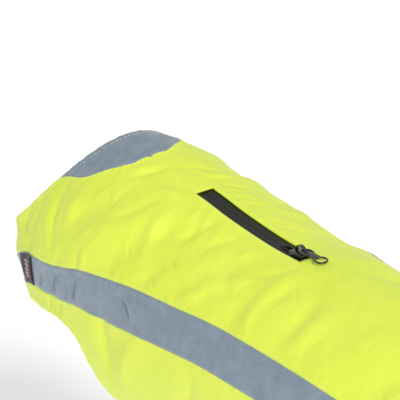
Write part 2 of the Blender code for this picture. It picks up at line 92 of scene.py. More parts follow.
def plain_form(ring, angle):
    """Points of the form with no folds, in mm. Angle 0 is the back, below 0 the left."""
    ring, angle = np.broadcast_arrays(np.asarray(ring, float), np.asarray(angle, float))
    columns = np.moveaxis(smooth_row(RINGS, ring), -1, 0)
    top_x, top_z, low_x, low_z, half_width, widest, bow, lean, narrow, turn, slide = columns
    turned = angle - turn * np.cos(np.radians(angle) / 2) ** 4
    turned = turned - slide * np.exp(-(angle / SLIDE_ANGLE) ** 2)
    side = np.where(turned < 0, -1.0, 1.0)
    round_angle = np.radians(np.abs(turned))
    depth = np.where(round_angle < math.pi / 2, widest, 1 - widest)
    down = widest - depth * np.cos(round_angle)
    below = np.clip((np.abs(turned) - 90) / NARROW_OVER, 0, 1)
    out = half_width * np.sin(round_angle) * (1 + lean * np.cos(round_angle))
    out = out * (1 - narrow * below ** 2 * (3 - 2 * below))
    across_x, across_z = low_x - top_x, low_z - top_z
    length = np.hypot(across_x, across_z)
    back = bow * np.sin(round_angle) ** 2
    x = top_x + across_x * down - back * across_z / length
    z = top_z + across_z * down + back * across_x / length
    return np.stack((x, side * out, z), -1)


def directions(ring, angle):
    """Along the back, round the body and out of the form, each for one unit or 1 mm."""
    small = 0.02
    along = (plain_form(ring + small, angle) - plain_form(ring - small, angle)) / (2 * small)
    round_body = (plain_form(ring, angle + small) - plain_form(ring, angle - small)) / (2 * small)
    edge = np.linalg.norm(along, axis=-1) < 1e-9
    along = np.where(edge[..., None], (1.0, 0.0, 0.0), along)
    out = np.cross(along, round_body)
    out /= np.linalg.norm(out, axis=-1, keepdims=True)
    return along, round_body, out


# %% [markdown]
# ## Seams
# Each row of this table runs down the cloth from the neck or the back's middle line, over
# the stripe's upper edge, to the hem. Reading it on a smooth curve gives the curved seams.

# %% Seams on each half
# top_ring, top_angle, stripe_ring, stripe_angle, stripe_width, hem_ring, hem_angle
SEAMS = np.array((
    (0.00, 180, 1.55, 180.0, 20, 3.50, 180),
    (0.00, 150, 1.58, 156.0, 20, 3.45, 160),
    (0.00, 122, 1.66, 134.0, 20, 3.40, 140),
    (0.00, 96, 1.85, 113.4, 20, 3.45, 122),
    (0.00, 74, 2.15, 98.0, 20, 3.70, 112),
    (0.00, 50, 2.60, 89.0, 20, 4.00, 107),
    (1.25, 37, 3.10, 82.4, 20.5, 4.30, 102),
    (1.75, 21, 3.60, 75.0, 22, 4.60, 100),
    (2.03, 10, 4.05, 67.5, 24, 4.95, 101),
    (2.10, 0, 4.50, 62.5, 26, 5.30, 108),
    (3.00, 0, 5.00, 57.5, 27, 5.65, 120),
    (3.90, 0, 5.60, 53.0, 27, 6.05, 134),
    (4.80, 0, 6.10, 50.8, 27, 6.50, 143),
    (5.70, 0, 6.65, 49.5, 27, 7.00, 147),
    (6.60, 0, 7.25, 49.0, 27, 7.50, 143),
    (7.55, 0, 7.95, 48.5, 27, 8.10, 128),
    (8.70, 0, 8.90, 48.5, 27, 9.00, 104),
    (10.0, 0, 10.0, 49.5, 27, 10.0, 84),
))
TIP_ROW = 5               # the nape panel's tips
NAPE_ROW = 9              # the nape panel's edge on the middle line
WINDOW_ROWS = (11, 14)    # the ends of the zip's window
LABEL_ROWS = (11 / 3, 5)
REAR_ROW = len(SEAMS) - 1
WALK_STEPS = 6
WALL = 1.2                # cloth, turned double at its hems
GAP = 0.3                 # between pieces at a seam
WINDOW_HALF = 6.6         # half of the zip window's width
CHEST_GAP_ANGLE = 0.25    # degrees that keep left and right pieces apart at the chest
CHEST_SPREAD = 10.0       # degrees per row by which seams part at the chest, at least


def step_down(ring, angle, row, distance):
    """Ring and angle after a walk of some mm across the seams, away from the neck."""
    for _ in range(WALK_STEPS):
        along, round_body, out = directions(ring, angle)
        ahead = stripe_edge(np.minimum(row + 0.05, REAR_ROW))
        behind = stripe_edge(np.maximum(row - 0.05, 0))
        seam = plain_form(*ahead) - plain_form(*behind)
        down = np.cross(out, seam)
        down /= np.linalg.norm(down, axis=-1, keepdims=True)
        move = down * (distance / WALK_STEPS)[..., None]
        aa = (along * along).sum(-1)
        ab = (along * round_body).sum(-1)
        bb = (round_body * round_body).sum(-1)
        ma, mb = (move * along).sum(-1), (move * round_body).sum(-1)
        scale = aa * bb - ab * ab
        ring = ring + (ma * bb - mb * ab) / scale
        angle = angle + (mb * aa - ma * ab) / scale
    return ring, angle


def top_edge(row):
    """Neckline, then the nape panel's edge, then the back's middle line."""
    columns = smooth_row(SEAMS, row)
    return np.maximum(columns[..., 0], 0), np.maximum(columns[..., 1], 0)


def stripe_edge(row):
    columns = smooth_row(SEAMS, row)
    return columns[..., 2], np.minimum(columns[..., 3], 180)


def stripe_low_edge(row):
    ring, angle = stripe_edge(row)
    ring, angle = step_down(ring, angle, row, smooth_row(SEAMS, row)[..., 4])
    ring = np.where(row >= REAR_ROW, REAR_RING, np.minimum(ring, REAR_RING))
    return ring, np.minimum(angle, 180 - CHEST_SPREAD * np.clip(row, 0, 2))


def hem_edge(row):
    columns = smooth_row(SEAMS, row)
    return columns[..., 5], np.minimum(columns[..., 6], 180)


def window_rings():
    """Rings on the middle line where the zip's window starts and ends."""
    return top_edge(np.array(WINDOW_ROWS, float))[0]


print("zip window from ring %.2f to %.2f" % tuple(window_rings()))

# %% [markdown]
# ## Camera
# The photograph looks at the vest's left side from behind and above, through a long lens.
# The camera is placed first: its target is the front end of the zip's window, and the
# framing follows from how many millimetres one pixel covers there.

# %% Camera
AZIMUTH, ELEVATION = math.radians(56), math.radians(27.3)
DISTANCE_MM = 1800
MM_PER_PIXEL = 0.61
PHOTO_PIXELS = 400
SENSOR_MM = 36.0
WINDOW_FRONT_PIXEL = (204.5, 189.7)   # where the window's front end shows


def view_axes(azimuth, elevation):
    """Right, up and back of a camera that looks at the origin."""
    back = Vector((math.sin(azimuth) * math.cos(elevation),
                   -math.cos(azimuth) * math.cos(elevation), math.sin(elevation)))
    right = Vector((math.cos(azimuth), math.sin(azimuth), 0))
    return right, back.cross(right), back


right, up, back = view_axes(AZIMUTH, ELEVATION)
front_ring = window_rings()[0]
anchor = Vector(plain_form(front_ring, 0.0) + directions(front_ring, 0.0)[2] * WALL)
centre = anchor - right * (WINDOW_FRONT_PIXEL[0] - PHOTO_PIXELS / 2) * MM_PER_PIXEL
centre += up * (WINDOW_FRONT_PIXEL[1] - PHOTO_PIXELS / 2) * MM_PER_PIXEL
camera_data = bpy.data.cameras.new("camera")
camera_data.sensor_width = SENSOR_MM
camera_data.lens = SENSOR_MM * DISTANCE_MM / (MM_PER_PIXEL * PHOTO_PIXELS)
camera = bpy.data.objects.new("camera", camera_data)
camera.matrix_world = Matrix((right, up, back)).transposed().to_4x4()
camera.matrix_world.translation = (centre + back * DISTANCE_MM) * MM
bpy.context.scene.collection.objects.link(camera)
bpy.context.scene.camera = camera
bpy.context.scene.view_settings.view_transform = "Standard"
print("lens %.1f mm" % camera_data.lens)

# %% [markdown]
# ## Folds and creases
# Cloth that is worn pulls into soft troughs and ridges between the points that hold it: the
# zip, the stripes and the neckline. The largest are in the solids too. The finer creases
# are placed one row each: where a crease starts and ends, how far it bows to one side, its
# half width, and its height, which is below nothing for a trough. A sharpness of 2 is a
# round crease, and less is a sharper one. No two are alike.

# %% Folds and creases
# from_ring, from_angle, to_ring, to_angle, half_width, height
FOLDS = (
    (0.6, -78, 1.5, -112, 7, -2.6),
    (0.9, -98, 2.0, -122, 7, 2.4),
    (1.9, -84, 2.9, -106, 6, -1.8),
    (3.0, -32, 2.5, -66, 9, -2.2),
    (4.6, -22, 4.4, -58, 9, -2.4),
    (3.9, -18, 3.5, -58, 11, 2.4),
    (5.9, -18, 5.4, -48, 9, 1.8),
    (7.1, -14, 6.9, -52, 10, -2.0),
    (8.4, -8, 8.3, -60, 14, 2.2),
    (9.2, -30, 9.3, -80, 12, -2.0),
    (3.4, -72, 4.2, -96, 6, -1.8),
    (4.9, -66, 5.5, -92, 7, -1.6),
    (0.8, 80, 1.7, 118, 8, -2.4),
    (3.2, 30, 2.8, 70, 10, -2.2),
    (4.4, 24, 4.2, 66, 10, -2.0),
    (6.2, 28, 6.0, 80, 11, -2.0),
    (8.0, 16, 8.1, 70, 13, 2.2),
    (9.1, 40, 9.2, 90, 11, -1.8),
    (6.0, -70, 6.6, -128, 10, 1.8),
    (6.1, 72, 6.7, 124, 10, -1.8),
    (6.0, 54, 6.9, 56, 9, 2.6),
    (6.2, 24, 6.5, 42, 8, -1.8),
)
FOLD_END = 0.35           # share of its height that a fold keeps at both ends

# from_ring, from_angle, to_ring, to_angle, bow, half_width, height, sharpness
CREASES = (
    # Left shoulder, between the neckline and the stripe.
    (1.2, -49, 2.8, -73, -5, 4.5, -1.5, 1.8),
    (1.7, -67, 2.9, -76, 2, 3.6, 1.0, 2.0),
    (0.5, -94, 2.1, -89, 2, 3.2, -0.9, 1.7),
    (2.0, -43, 2.8, -60, -3, 6.0, 1.2, 2.0),
    (2.7, -56, 3.0, -50, 1, 1.8, 0.5, 1.6),
    (2.9, -58, 3.2, -52, -1, 1.7, -0.5, 1.6),
    (3.1, -57, 3.3, -50, 1, 1.9, 0.45, 1.6),
    (0.9, -70, 1.5, -84, 3, 3.4, -0.7, 1.8),
    (3.6, -62, 4.0, -70, 1, 2.6, -0.7, 1.5),
    (3.7, -59, 4.1, -66, 1, 2.8, 0.7, 1.8),
    # Between the nape panel and the zip.
    (3.6, -17, 3.3, -41, 4, 4.6, -1.1, 1.8),
    (3.3, -15, 4.0, -12, 2, 4.2, 0.9, 2.0),
    (2.5, -15, 2.7, 1, -2, 2.6, -0.8, 1.5),
    (2.3, -16, 2.5, -4, 1, 3.0, 0.6, 2.0),
    (3.4, -5, 3.9, -10, 1, 2.2, -0.55, 1.6),
    (2.9, 4, 3.3, 18, 2, 3.0, -0.7, 1.7),
    (3.4, 9, 3.6, 22, -1, 2.4, 0.6, 1.8),
    # Above the zip's right edge.
    (3.9, 9, 4.2, 21, 1, 2.0, -0.6, 1.6),
    (4.3, 8, 4.4, 18, -1, 2.2, 0.5, 1.7),
    (4.7, 8, 4.9, 20, 1, 2.0, -0.5, 1.6),
    (5.2, 8, 5.3, 17, -1, 2.1, 0.45, 1.7),
    (5.6, 9, 5.9, 21, 1, 2.4, -0.5, 1.7),
    # Left of the zip.
    (4.7, -15, 4.9, -28, 4, 4.2, -1.3, 1.7),
    (4.9, -27, 4.4, -36, -2, 4.0, -0.9, 1.8),
    (4.1, -19, 4.7, -40, -3, 5.0, 1.4, 2.0),
    (4.4, -11, 4.5, -17, 1, 2.0, 0.6, 1.6),
    (4.9, -10, 5.0, -19, -1, 2.2, -0.7, 1.5),
    (5.1, -11, 5.3, -20, 1, 2.4, 0.6, 1.8),
    (5.5, -10, 5.4, -21, 1, 2.6, -0.6, 1.6),
    (5.9, -10, 6.0, -18, -1, 2.6, 0.5, 1.8),
    (5.3, -42, 5.1, -52, 2, 4.4, -1.0, 1.8),
    (5.8, -34, 6.6, -17, -7, 6.0, 1.3, 2.0),
    (5.9, -45, 6.2, -36, -3, 4.6, 1.1, 2.0),
    (6.1, -28, 6.5, -36, 3, 5.0, -0.8, 2.0),
    # Behind the zip, down the left flank.
    (6.7, -9, 6.4, -24, 3, 3.2, -1.0, 1.5),
    (6.9, -13, 7.2, -44, -4, 6.0, 1.5, 2.0),
    (7.3, -11, 7.7, -40, 5, 6.5, -1.3, 2.0),
    (7.8, -16, 7.9, -44, -3, 6.0, 0.9, 2.0),
    (8.8, -10, 8.7, -46, 6, 8.0, -1.2, 2.0),
    (9.5, -6, 9.6, -44, -4, 7.0, 1.0, 2.0),
    # On the left stripe.
    (3.25, -88, 3.6, -95, 1, 2.4, -0.9, 1.5),
    (3.55, -81, 4.0, -90, 1, 1.8, -1.3, 1.3),
    (3.75, -79, 4.1, -87, -1, 2.6, 0.9, 1.7),
    (4.05, -78, 4.35, -86, 1, 1.5, -0.9, 1.3),
    (4.15, -72, 4.5, -83, 1, 1.8, -1.3, 1.3),
    (4.3, -71, 4.6, -81, -1, 2.4, 0.8, 1.7),
    (5.1, -63, 5.7, -71, 2, 2.2, -1.4, 1.3),
    (5.3, -62, 5.8, -66, -1, 3.0, 0.6, 2.0),
    (5.75, -55, 6.0, -60, 1, 2.8, -0.8, 1.6),
    (6.9, -53, 7.2, -62, 1, 3.4, -0.7, 1.8),
    (8.2, -52, 8.1, -63, -1, 4.0, 0.7, 2.0),
    # On the left lower band.
    (3.95, -92, 4.2, -101, 1, 1.8, -0.7, 1.4),
    (4.3, -90, 4.5, -99, -1, 2.4, -0.8, 1.6),
    (5.2, -80, 5.9, -110, 6, 6.0, -1.2, 2.0),
    (6.0, -76, 6.3, -116, -5, 7.0, 1.3, 2.0),
    (7.0, -76, 7.1, -118, 5, 6.0, -1.1, 2.0),
    (8.1, -74, 8.0, -102, -3, 6.0, 0.9, 2.0),
    # On the nape panel.
    (1.1, -24, 1.6, -26, 0, 1.5, -0.6, 1.4),
    (0.7, -7, 1.6, -10, 3, 2.6, -0.7, 1.6),
    (0.9, -2, 1.4, 11, -2, 2.4, -0.6, 1.6),
    (1.0, 19, 1.5, 32, 2, 2.8, 0.5, 2.0),
    (1.2, 27, 1.4, 41, -1, 2.2, -0.5, 1.7),
    # Chest, in front.
    (0.4, -118, 1.4, -134, 4, 5.0, -1.2, 1.8),
    (0.5, -150, 1.3, -162, -3, 5.5, 1.0, 2.0),
    (0.4, 128, 1.4, 140, -4, 5.0, -1.1, 1.8),
    (0.6, 160, 1.4, 172, 3, 5.5, 0.9, 2.0),
    (2.6, -150, 3.3, -158, 2, 3.6, -0.9, 1.7),
    (2.5, 146, 3.2, 152, -2, 3.6, -0.9, 1.7),
    # Right shoulder and flank.
    (1.1, 52, 2.6, 76, 5, 4.6, -1.4, 1.8),
    (1.6, 70, 2.7, 82, -2, 3.8, 1.0, 2.0),
    (2.1, 46, 2.9, 62, 3, 5.4, 1.1, 2.0),
    (3.3, 26, 3.1, 52, -4, 5.0, -1.0, 1.8),
    (3.9, 60, 3.4, 70, 2, 2.6, -0.6, 1.5),
    (4.6, 26, 4.9, 46, 4, 4.6, -1.2, 1.8),
    (5.2, 24, 5.0, 44, -3, 5.2, 0.8, 2.0),
    (5.9, 22, 6.2, 42, 4, 6.0, -0.5, 2.0),
    (6.8, 12, 7.1, 42, -5, 7.0, 0.7, 2.0),
    (7.4, 14, 7.8, 44, 4, 6.5, -1.2, 2.0),
    (8.6, 12, 8.8, 46, -6, 8.0, 1.1, 2.0),
    (9.4, 10, 9.6, 42, 4, 7.0, -0.9, 2.0),
    (3.6, 83, 4.0, 90, -1, 2.0, -0.8, 1.4),
    (4.4, 74, 4.8, 82, -1, 2.2, -0.9, 1.4),
    (5.2, 64, 5.7, 70, 2, 2.6, 0.8, 1.8),
    (6.3, 56, 6.6, 64, -1, 2.8, -0.8, 1.6),
    (7.8, 54, 7.9, 64, 1, 3.6, 0.7, 2.0),
    (5.3, 82, 5.9, 108, -6, 6.0, -1.2, 2.0),
    (6.2, 78, 6.5, 118, 5, 7.0, 1.2, 2.0),
    (7.3, 76, 7.3, 116, -4, 6.0, -1.0, 2.0),
    (8.4, 72, 8.3, 98, 3, 6.0, 0.8, 2.0),
    (4.2, 94, 4.5, 101, 1, 2.2, -0.7, 1.6),
)
CREASE_DEPTH = 1.8        # all heights in the table are times this
CREASE_STEPS = 8          # straight pieces that stand for a bowed crease
CREASE_END = 0.08         # where on its half wave of height a crease starts and ends
ZIP_REST = 6.0            # within about this distance of the zip the creases die out
PULL_REACH = 24.0         # the cloth stays flat so far behind the window, under the pull


def distance_to(points, start, end):
    """Distance from a straight piece, and the share of the way along it."""
    run = end - start
    share = np.clip(((points - start) @ run) / (run @ run), 0, 1)
    return np.linalg.norm(points - start - share[..., None] * run, axis=-1), share


def fold_height(points):
    """How far the largest folds lift the form at each point, in mm."""
    height = np.zeros(points.shape[:-1])
    for from_ring, from_angle, to_ring, to_angle, half_width, rise in FOLDS:
        away, share = distance_to(points, plain_form(from_ring, from_angle),
                                  plain_form(to_ring, to_angle))
        ends = FOLD_END + (1 - FOLD_END) * np.sin(math.pi * share)
        height += rise * ends * np.exp(-(away / half_width) ** 2)
    return height


def crease_height(points):
    """How far the finer creases lift the form at each point, in mm."""
    height = np.zeros(points.shape[:-1])
    for from_ring, from_angle, to_ring, to_angle, bow, half_width, rise, sharpness in CREASES:
        share = np.linspace(0, 1, CREASE_STEPS + 1)
        line = plain_form(from_ring + share * (to_ring - from_ring),
                          from_angle + share * (to_angle - from_angle))
        out = directions(np.array(from_ring), np.array(from_angle))[2]
        aside = np.cross(out, line[-1] - line[0])
        aside /= np.linalg.norm(aside)
        line = line + aside * (bow * 4 * share * (1 - share))[:, None]
        near = np.linalg.norm(points - line[CREASE_STEPS // 2], axis=-1)
        reach = near < np.linalg.norm(line[-1] - line[0]) + 4 * half_width
        close = points[reach]
        nearest = np.full(close.shape[:-1], 1e9)
        place = np.zeros(close.shape[:-1])
        for step in range(CREASE_STEPS):
            away, part_share = distance_to(close, line[step], line[step + 1])
            closer = away < nearest
            nearest = np.where(closer, away, nearest)
            place = np.where(closer, (step + part_share) / CREASE_STEPS, place)
        taper = np.sin(math.pi * (CREASE_END + (1 - 2 * CREASE_END) * place))
        height[reach] += CREASE_DEPTH * rise * taper * np.exp(-(nearest / half_width) ** sharpness)
    zip_start, zip_end = plain_form(window_rings(), 0.0)
    zip_end = zip_end + (zip_end - zip_start) / np.linalg.norm(zip_end - zip_start) * PULL_REACH
    from_zip = distance_to(points, zip_start, zip_end)[0]
    return height * (1 - np.exp(-(from_zip / ZIP_REST) ** 2))


def cloth(ring, angle, lift=0.0, creased=True):
    """Points of the cloth's inner side, or lift mm outside it."""
    points = plain_form(ring, angle)
    out = directions(ring, angle)[2]
    rise = fold_height(points) + lift
    if creased:
        rise = rise + crease_height(points)
    return points + out * rise[..., None]


print("folds:", len(FOLDS), "creases:", len(CREASES))

# %% [markdown]
# ## Finishes
# Each material starts from what the real one is. Patterns that follow the cloth use its UV
# map, which is measured in metres along and across the piece, so that a thread spacing is
# a real size. One helper adds any node with its settings and links.

# %% Helpers for finishes
WAVE_PERIOD = math.tau / 20   # length of one band of a Wave texture at scale 1


def from_hex(text):
    """An sRGB colour such as DDF25A as linear red, green, blue and alpha."""
    shares = [int(text[i:i + 2], 16) / 255 for i in (0, 2, 4)]
    return (*(s / 12.92 if s <= 0.04045 else ((s + 0.055) / 1.055) ** 2.4 for s in shares), 1.0)


def add_node(tree, kind, settings=None, inputs=None):
    """Adds a node, sets its properties, and gives each input a value or a link."""
    node = tree.nodes.new(kind)
    for name, value in (settings or {}).items():
        setattr(node, name, value)
    for name, value in (inputs or {}).items():
        if isinstance(value, bpy.types.NodeSocket):
            tree.links.new(value, node.inputs[name])
        else:
            node.inputs[name].default_value = value
    return node


def new_finish(name, colour, roughness, values=None):
    """A material with its shader. values are the shader's own uniform settings."""
    material = bpy.data.materials.new(name)
    material.use_nodes = True
    shader = material.node_tree.nodes["Principled BSDF"]
    shader.inputs["Base Color"].default_value = from_hex(colour)
    shader.inputs["Roughness"].default_value = roughness
    for socket, value in (values or {}).items():
        shader.inputs[socket].default_value = value
    return material, material.node_tree, shader


def weave_height(tree, uv, spacing):
    """Threads over and under each other: two crossed waves, spacing in mm."""
    waves = [add_node(tree, "ShaderNodeTexWave", {"bands_direction": way},
                      {"Vector": uv, "Scale": WAVE_PERIOD / (spacing * MM), "Distortion": 0.0})
             for way in ("X", "Y")]
    return add_node(tree, "ShaderNodeMath", {"operation": "MULTIPLY"},
                    {0: waves[0].outputs["Fac"], 1: waves[1].outputs["Fac"]}).outputs[0]


def add_bumps(tree, shader, layers):
    """Stacks bumps of (height socket, depth in mm, strength) and links them to the shader."""
    normal = None
    for height, depth, strength in layers:
        inputs = {"Height": height, "Distance": depth * MM, "Strength": strength}
        if normal:
            inputs["Normal"] = normal
        normal = add_node(tree, "ShaderNodeBump", None, inputs).outputs["Normal"]
    tree.links.new(normal, shader.inputs["Normal"])


def shade_between(tree, shader, factor, low, high):
    """Lets the colour drift between two hex colours as the factor goes from low to high."""
    mix = add_node(tree, "ShaderNodeMix", {"data_type": "RGBA"},
                   {0: factor, 6: from_hex(low), 7: from_hex(high)})
    tree.links.new(mix.outputs[2], shader.inputs["Base Color"])


# %% Fluorescent polyester cloth
# Woven polyester, dyed with a fluorescent dye and coated on its back. A steady yellow-green
# emission is painted in as a glow that stands for the dye's fluorescence: it is the same under
# any light and keeps the colour clear in shade. The smooth filament threads give a broad
# sheen. The real threads lie 0.3 mm apart; they are drawn at 0.9 mm to show at all.
YELLOW_MID, YELLOW_DEEP, YELLOW_PAINTED_GLOW = "DFE056", "CDD43C", "9FE600"
CRINKLE_MM = 16.0         # size of the faint dents of handled cloth
MOTTLE_MM = 60.0          # size of the patches in which the dye looks deeper
WEAVE_MM = 0.9


def make_yellow_cloth():
    # The emission is a painted glow, the same under any light, that stands for fluorescence.
    material, tree, shader = new_finish("fluorescent_polyester_weave", YELLOW_MID, 0.62, {
        "Sheen Weight": 0.1, "Sheen Roughness": 0.5,
        "Emission Color": from_hex(YELLOW_PAINTED_GLOW), "Emission Strength": 0.2})
    uv = add_node(tree, "ShaderNodeUVMap").outputs["UV"]
    mottle = add_node(tree, "ShaderNodeTexNoise", None,
                      {"Vector": uv, "Scale": 1 / (MOTTLE_MM * MM), "Detail": 2.0})
    crinkle = add_node(tree, "ShaderNodeTexNoise", None,
                       {"Vector": uv, "Scale": 1 / (CRINKLE_MM * MM), "Detail": 3.0,
                        "Roughness": 0.45, "Distortion": 0.6})
    shade_between(tree, shader, mottle.outputs["Fac"], YELLOW_DEEP, YELLOW_MID)
    add_bumps(tree, shader, [(crinkle.outputs["Fac"], 2.6, 0.6),
                             (weave_height(tree, uv, WEAVE_MM), 0.05, 0.5)])
    return material


yellow_cloth = make_yellow_cloth()
print(yellow_cloth.name)

# %% Retroreflective cloth
# Grey cloth with a layer of tiny glass beads over aluminium. By daylight the beads scatter
# light back softly, so it looks like smooth blue-grey silk with a low metallic sheen. Its
# colour is painted a deeper grey in the dents of its bump, as shade.
REFLECTIVE_MID, REFLECTIVE_DENT_SHADE = "93A3B2", "74828F"
BEAD_MM = 0.8             # real beads are 0.05 mm; drawn coarser so that the grain shows
DENT_MM = 9.0             # size of the dents of sewn and handled tape


def make_reflective_cloth():
    material, tree, shader = new_finish("glass_bead_reflective_cloth", REFLECTIVE_MID, 0.48,
                                        {"Metallic": 0.15, "Sheen Weight": 0.2, "Sheen Roughness": 0.4})
    uv = add_node(tree, "ShaderNodeUVMap").outputs["UV"]
    beads = add_node(tree, "ShaderNodeTexNoise", None,
                     {"Vector": uv, "Scale": 1 / (BEAD_MM * MM), "Detail": 1.0})
    crinkle = add_node(tree, "ShaderNodeTexNoise", None,
                       {"Vector": uv, "Scale": 1 / (DENT_MM * MM), "Detail": 3.0, "Distortion": 0.8})
    # Painted shade: the colour turns to the deeper grey in the dents of the same noise that makes the
    # bump.
    shade_between(tree, shader, crinkle.outputs["Fac"], REFLECTIVE_DENT_SHADE, REFLECTIVE_MID)
    add_bumps(tree, shader, [(crinkle.outputs["Fac"], 1.2, 0.5), (beads.outputs["Fac"], 0.06, 0.5)])
    return material


reflective_cloth = make_reflective_cloth()
print(reflective_cloth.name)

# %% Zip finishes
# The tapes are woven polyester with a matt polyurethane film, the teeth are a glossy nylon
# coil, and the slider and pull are die-cast zinc under black lacquer.
FILM_GRAIN_MM = 1.2
WEAR_MM = 2.5             # size of the dull and bright patches of worn lacquer


def make_zip_film():
    material, tree, shader = new_finish("matt_polyurethane_film", "131311", 0.5)
    uv = add_node(tree, "ShaderNodeUVMap").outputs["UV"]
    grain = add_node(tree, "ShaderNodeTexNoise", None,
                     {"Vector": uv, "Scale": 1 / (FILM_GRAIN_MM * MM), "Detail": 2.0})
    shade_between(tree, shader, grain.outputs["Fac"], "0F0F0D", "191917")
    add_bumps(tree, shader, [(grain.outputs["Fac"], 0.05, 0.4)])
    return material


def make_lacquer(name, colour, roughness, coat):
    material, tree, shader = new_finish(name, colour, roughness,
                                        {"Coat Weight": coat, "Coat Roughness": 0.12})
    place = add_node(tree, "ShaderNodeTexCoord").outputs["Object"]
    wear = add_node(tree, "ShaderNodeTexNoise", None,
                    {"Vector": place, "Scale": 1 / (WEAR_MM * MM), "Detail": 3.0})
    add_bumps(tree, shader, [(wear.outputs["Fac"], 0.08, 0.35)])
    spread = add_node(tree, "ShaderNodeMapRange", None,
                      {"Value": wear.outputs["Fac"], "To Min": roughness * 0.8, "To Max": roughness * 1.3})
    tree.links.new(spread.outputs["Result"], shader.inputs["Roughness"])
    return material


zip_film = make_zip_film()
coil_nylon = make_lacquer("black_nylon_coil", "0C0C0C", 0.25, 0.3)
black_zinc = make_lacquer("black_lacquered_zinc", "121212", 0.28, 1.0)
grey_zinc = make_lacquer("worn_dark_grey_lacquer", "3C3D3C", 0.4, 0.4)
print(zip_film.name, coil_nylon.name, black_zinc.name, grey_zinc.name)

# %% Threads, patches and label weave
TWIST_MM = 0.5            # length of one twist of the sewing thread


def make_thread(name, colour):
    """Spun polyester thread, with a fine twist along the stitch."""
    material, tree, shader = new_finish(name, colour, 0.6, {"Sheen Weight": 0.3})
    place = add_node(tree, "ShaderNodeTexCoord").outputs["Object"]
    twist = add_node(tree, "ShaderNodeTexNoise", None,
                     {"Vector": place, "Scale": 1 / (TWIST_MM * MM), "Detail": 1.0})
    add_bumps(tree, shader, [(twist.outputs["Fac"], 0.05, 0.5)])
    return material


def make_dark_weave(name, colour, spacing, depth, roughness):
    material, tree, shader = new_finish(name, colour, roughness, {"Sheen Weight": 0.15})
    uv = add_node(tree, "ShaderNodeUVMap").outputs["UV"]
    fuzz = add_node(tree, "ShaderNodeTexNoise", None,
                    {"Vector": uv, "Scale": 1 / (spacing * MM), "Detail": 2.0})
    add_bumps(tree, shader, [(weave_height(tree, uv, spacing), depth, 0.6),
                             (fuzz.outputs["Fac"], depth, 0.6)])
    return material


yellow_thread = make_thread("fluorescent_yellow_thread", "EAF890")
pale_thread = make_thread("pale_green_yellow_thread", "C9E79A")
black_thread = make_thread("black_thread", "161616")
label_thread = make_thread("muted_rose_label_thread", "C98890")
label_weave = make_dark_weave("black_damask_label", "0B0B0C", 0.7, 0.08, 0.75)
loop_pile = make_dark_weave("black_loop_pile", "101010", 1.1, 0.35, 0.9)
hook_tape = make_dark_weave("black_hook_tape", "0D0D0D", 1.4, 0.45, 0.6)
print("threads and weaves made")

# %% [markdown]
# ## Cloth shells
# A piece of cloth is one grid of faces laid on the form. Its rows crowd towards its edges,
# where the cloth is turned under: a seam sinks into a thin valley with a soft roll beside
# it, and a hem is a little thicker up to its row of stitches. Sewing also gathers cloth
# slightly, which shows as small ripples close to a seam. A live Solidify gives the wall.

# %% Laying cloth
COLUMNS_PER_ROW = 16      # mesh columns between two rows of SEAMS
SEAM_DROP, SEAM_DROP_WIDTH = 0.55, 0.6
ROLL_RISE, ROLL_FROM, ROLL_WIDTH = 0.3, 1.9, 1.2
HEM_RISE = 0.35
HEM_WIDTH = 6.0
HEM_GROOVE, HEM_ROUNDING = 0.25, 0.3      # depths at a hem's stitches and at its very edge
RIPPLE = 0.28             # height of the gathers beside a seam
RIPPLE_REACH = 6.0
RIPPLE_WAVES = ((11.0, 0.0, 0.5), (7.3, 1.9, 0.35), (17.9, 4.2, 0.4))   # length, start, share
CROWDING = 0.78           # 0 spaces mesh lines evenly, and 1 draws them fully to both ends


def crowd(count):
    """Shares from 0 to 1 whose steps are fine at both ends."""
    share = np.linspace(0, 1, count + 1)
    return share - CROWDING * np.sin(math.tau * share) / math.tau


def ripples(along):
    """Uneven small waves along a seam, from about -1 to 1."""
    return sum(share * np.sin(math.tau * along / length + start)
               for length, start, share in RIPPLE_WAVES)


def seam_relief(away, along):
    """Height beside a seam, from the distance to it and the place along it, in mm."""
    valley = -SEAM_DROP * np.exp(-(away / SEAM_DROP_WIDTH) ** 2)
    roll = ROLL_RISE * np.exp(-((away - ROLL_FROM) / ROLL_WIDTH) ** 2)
    gather = RIPPLE * ripples(along) * np.exp(-away / RIPPLE_REACH) * (1 - np.exp(-(away / 1.5) ** 2))
    return valley + roll + gather


def hem_relief(away, along):
    """Height beside a free edge: turned double up to the stitches, and rolled at its end."""
    double = HEM_RISE / (1 + np.exp((away - HEM_WIDTH - 0.6) / 0.35))
    stitched = -HEM_GROOVE * np.exp(-((away - HEM_WIDTH) / 0.7) ** 2)
    end = -HEM_ROUNDING * np.exp(-(away / 0.5) ** 2)
    gather = RIPPLE * ripples(along + 5) * np.exp(-((away - HEM_WIDTH * 0.5) / HEM_WIDTH) ** 2)
    return double + stitched + end + gather


def strip(upper, lower, row, share, side, trims=(0.0, 0.0)):
    """Ring, signed angle, and the distances in mm to both seams and along the strip."""
    ring_a, angle_a = upper(row)
    ring_b, angle_b = lower(row)
    line_a, line_b = plain_form(ring_a, angle_a), plain_form(ring_b, angle_b)
    length = np.maximum(np.linalg.norm(line_a - line_b, axis=-1), 1.0)
    steps = np.linalg.norm(np.diff((line_a + line_b) / 2, axis=0), axis=-1)
    along = np.concatenate(([0], np.cumsum(steps)))
    trim_a, trim_b = trims
    share = trim_a / length + share * (1 - (trim_a + trim_b) / length)
    ring = ring_a + (ring_b - ring_a) * share
    angle = angle_a + (angle_b - angle_a) * share
    return ring, side * angle, share * length, (1 - share) * length, along + 0 * share


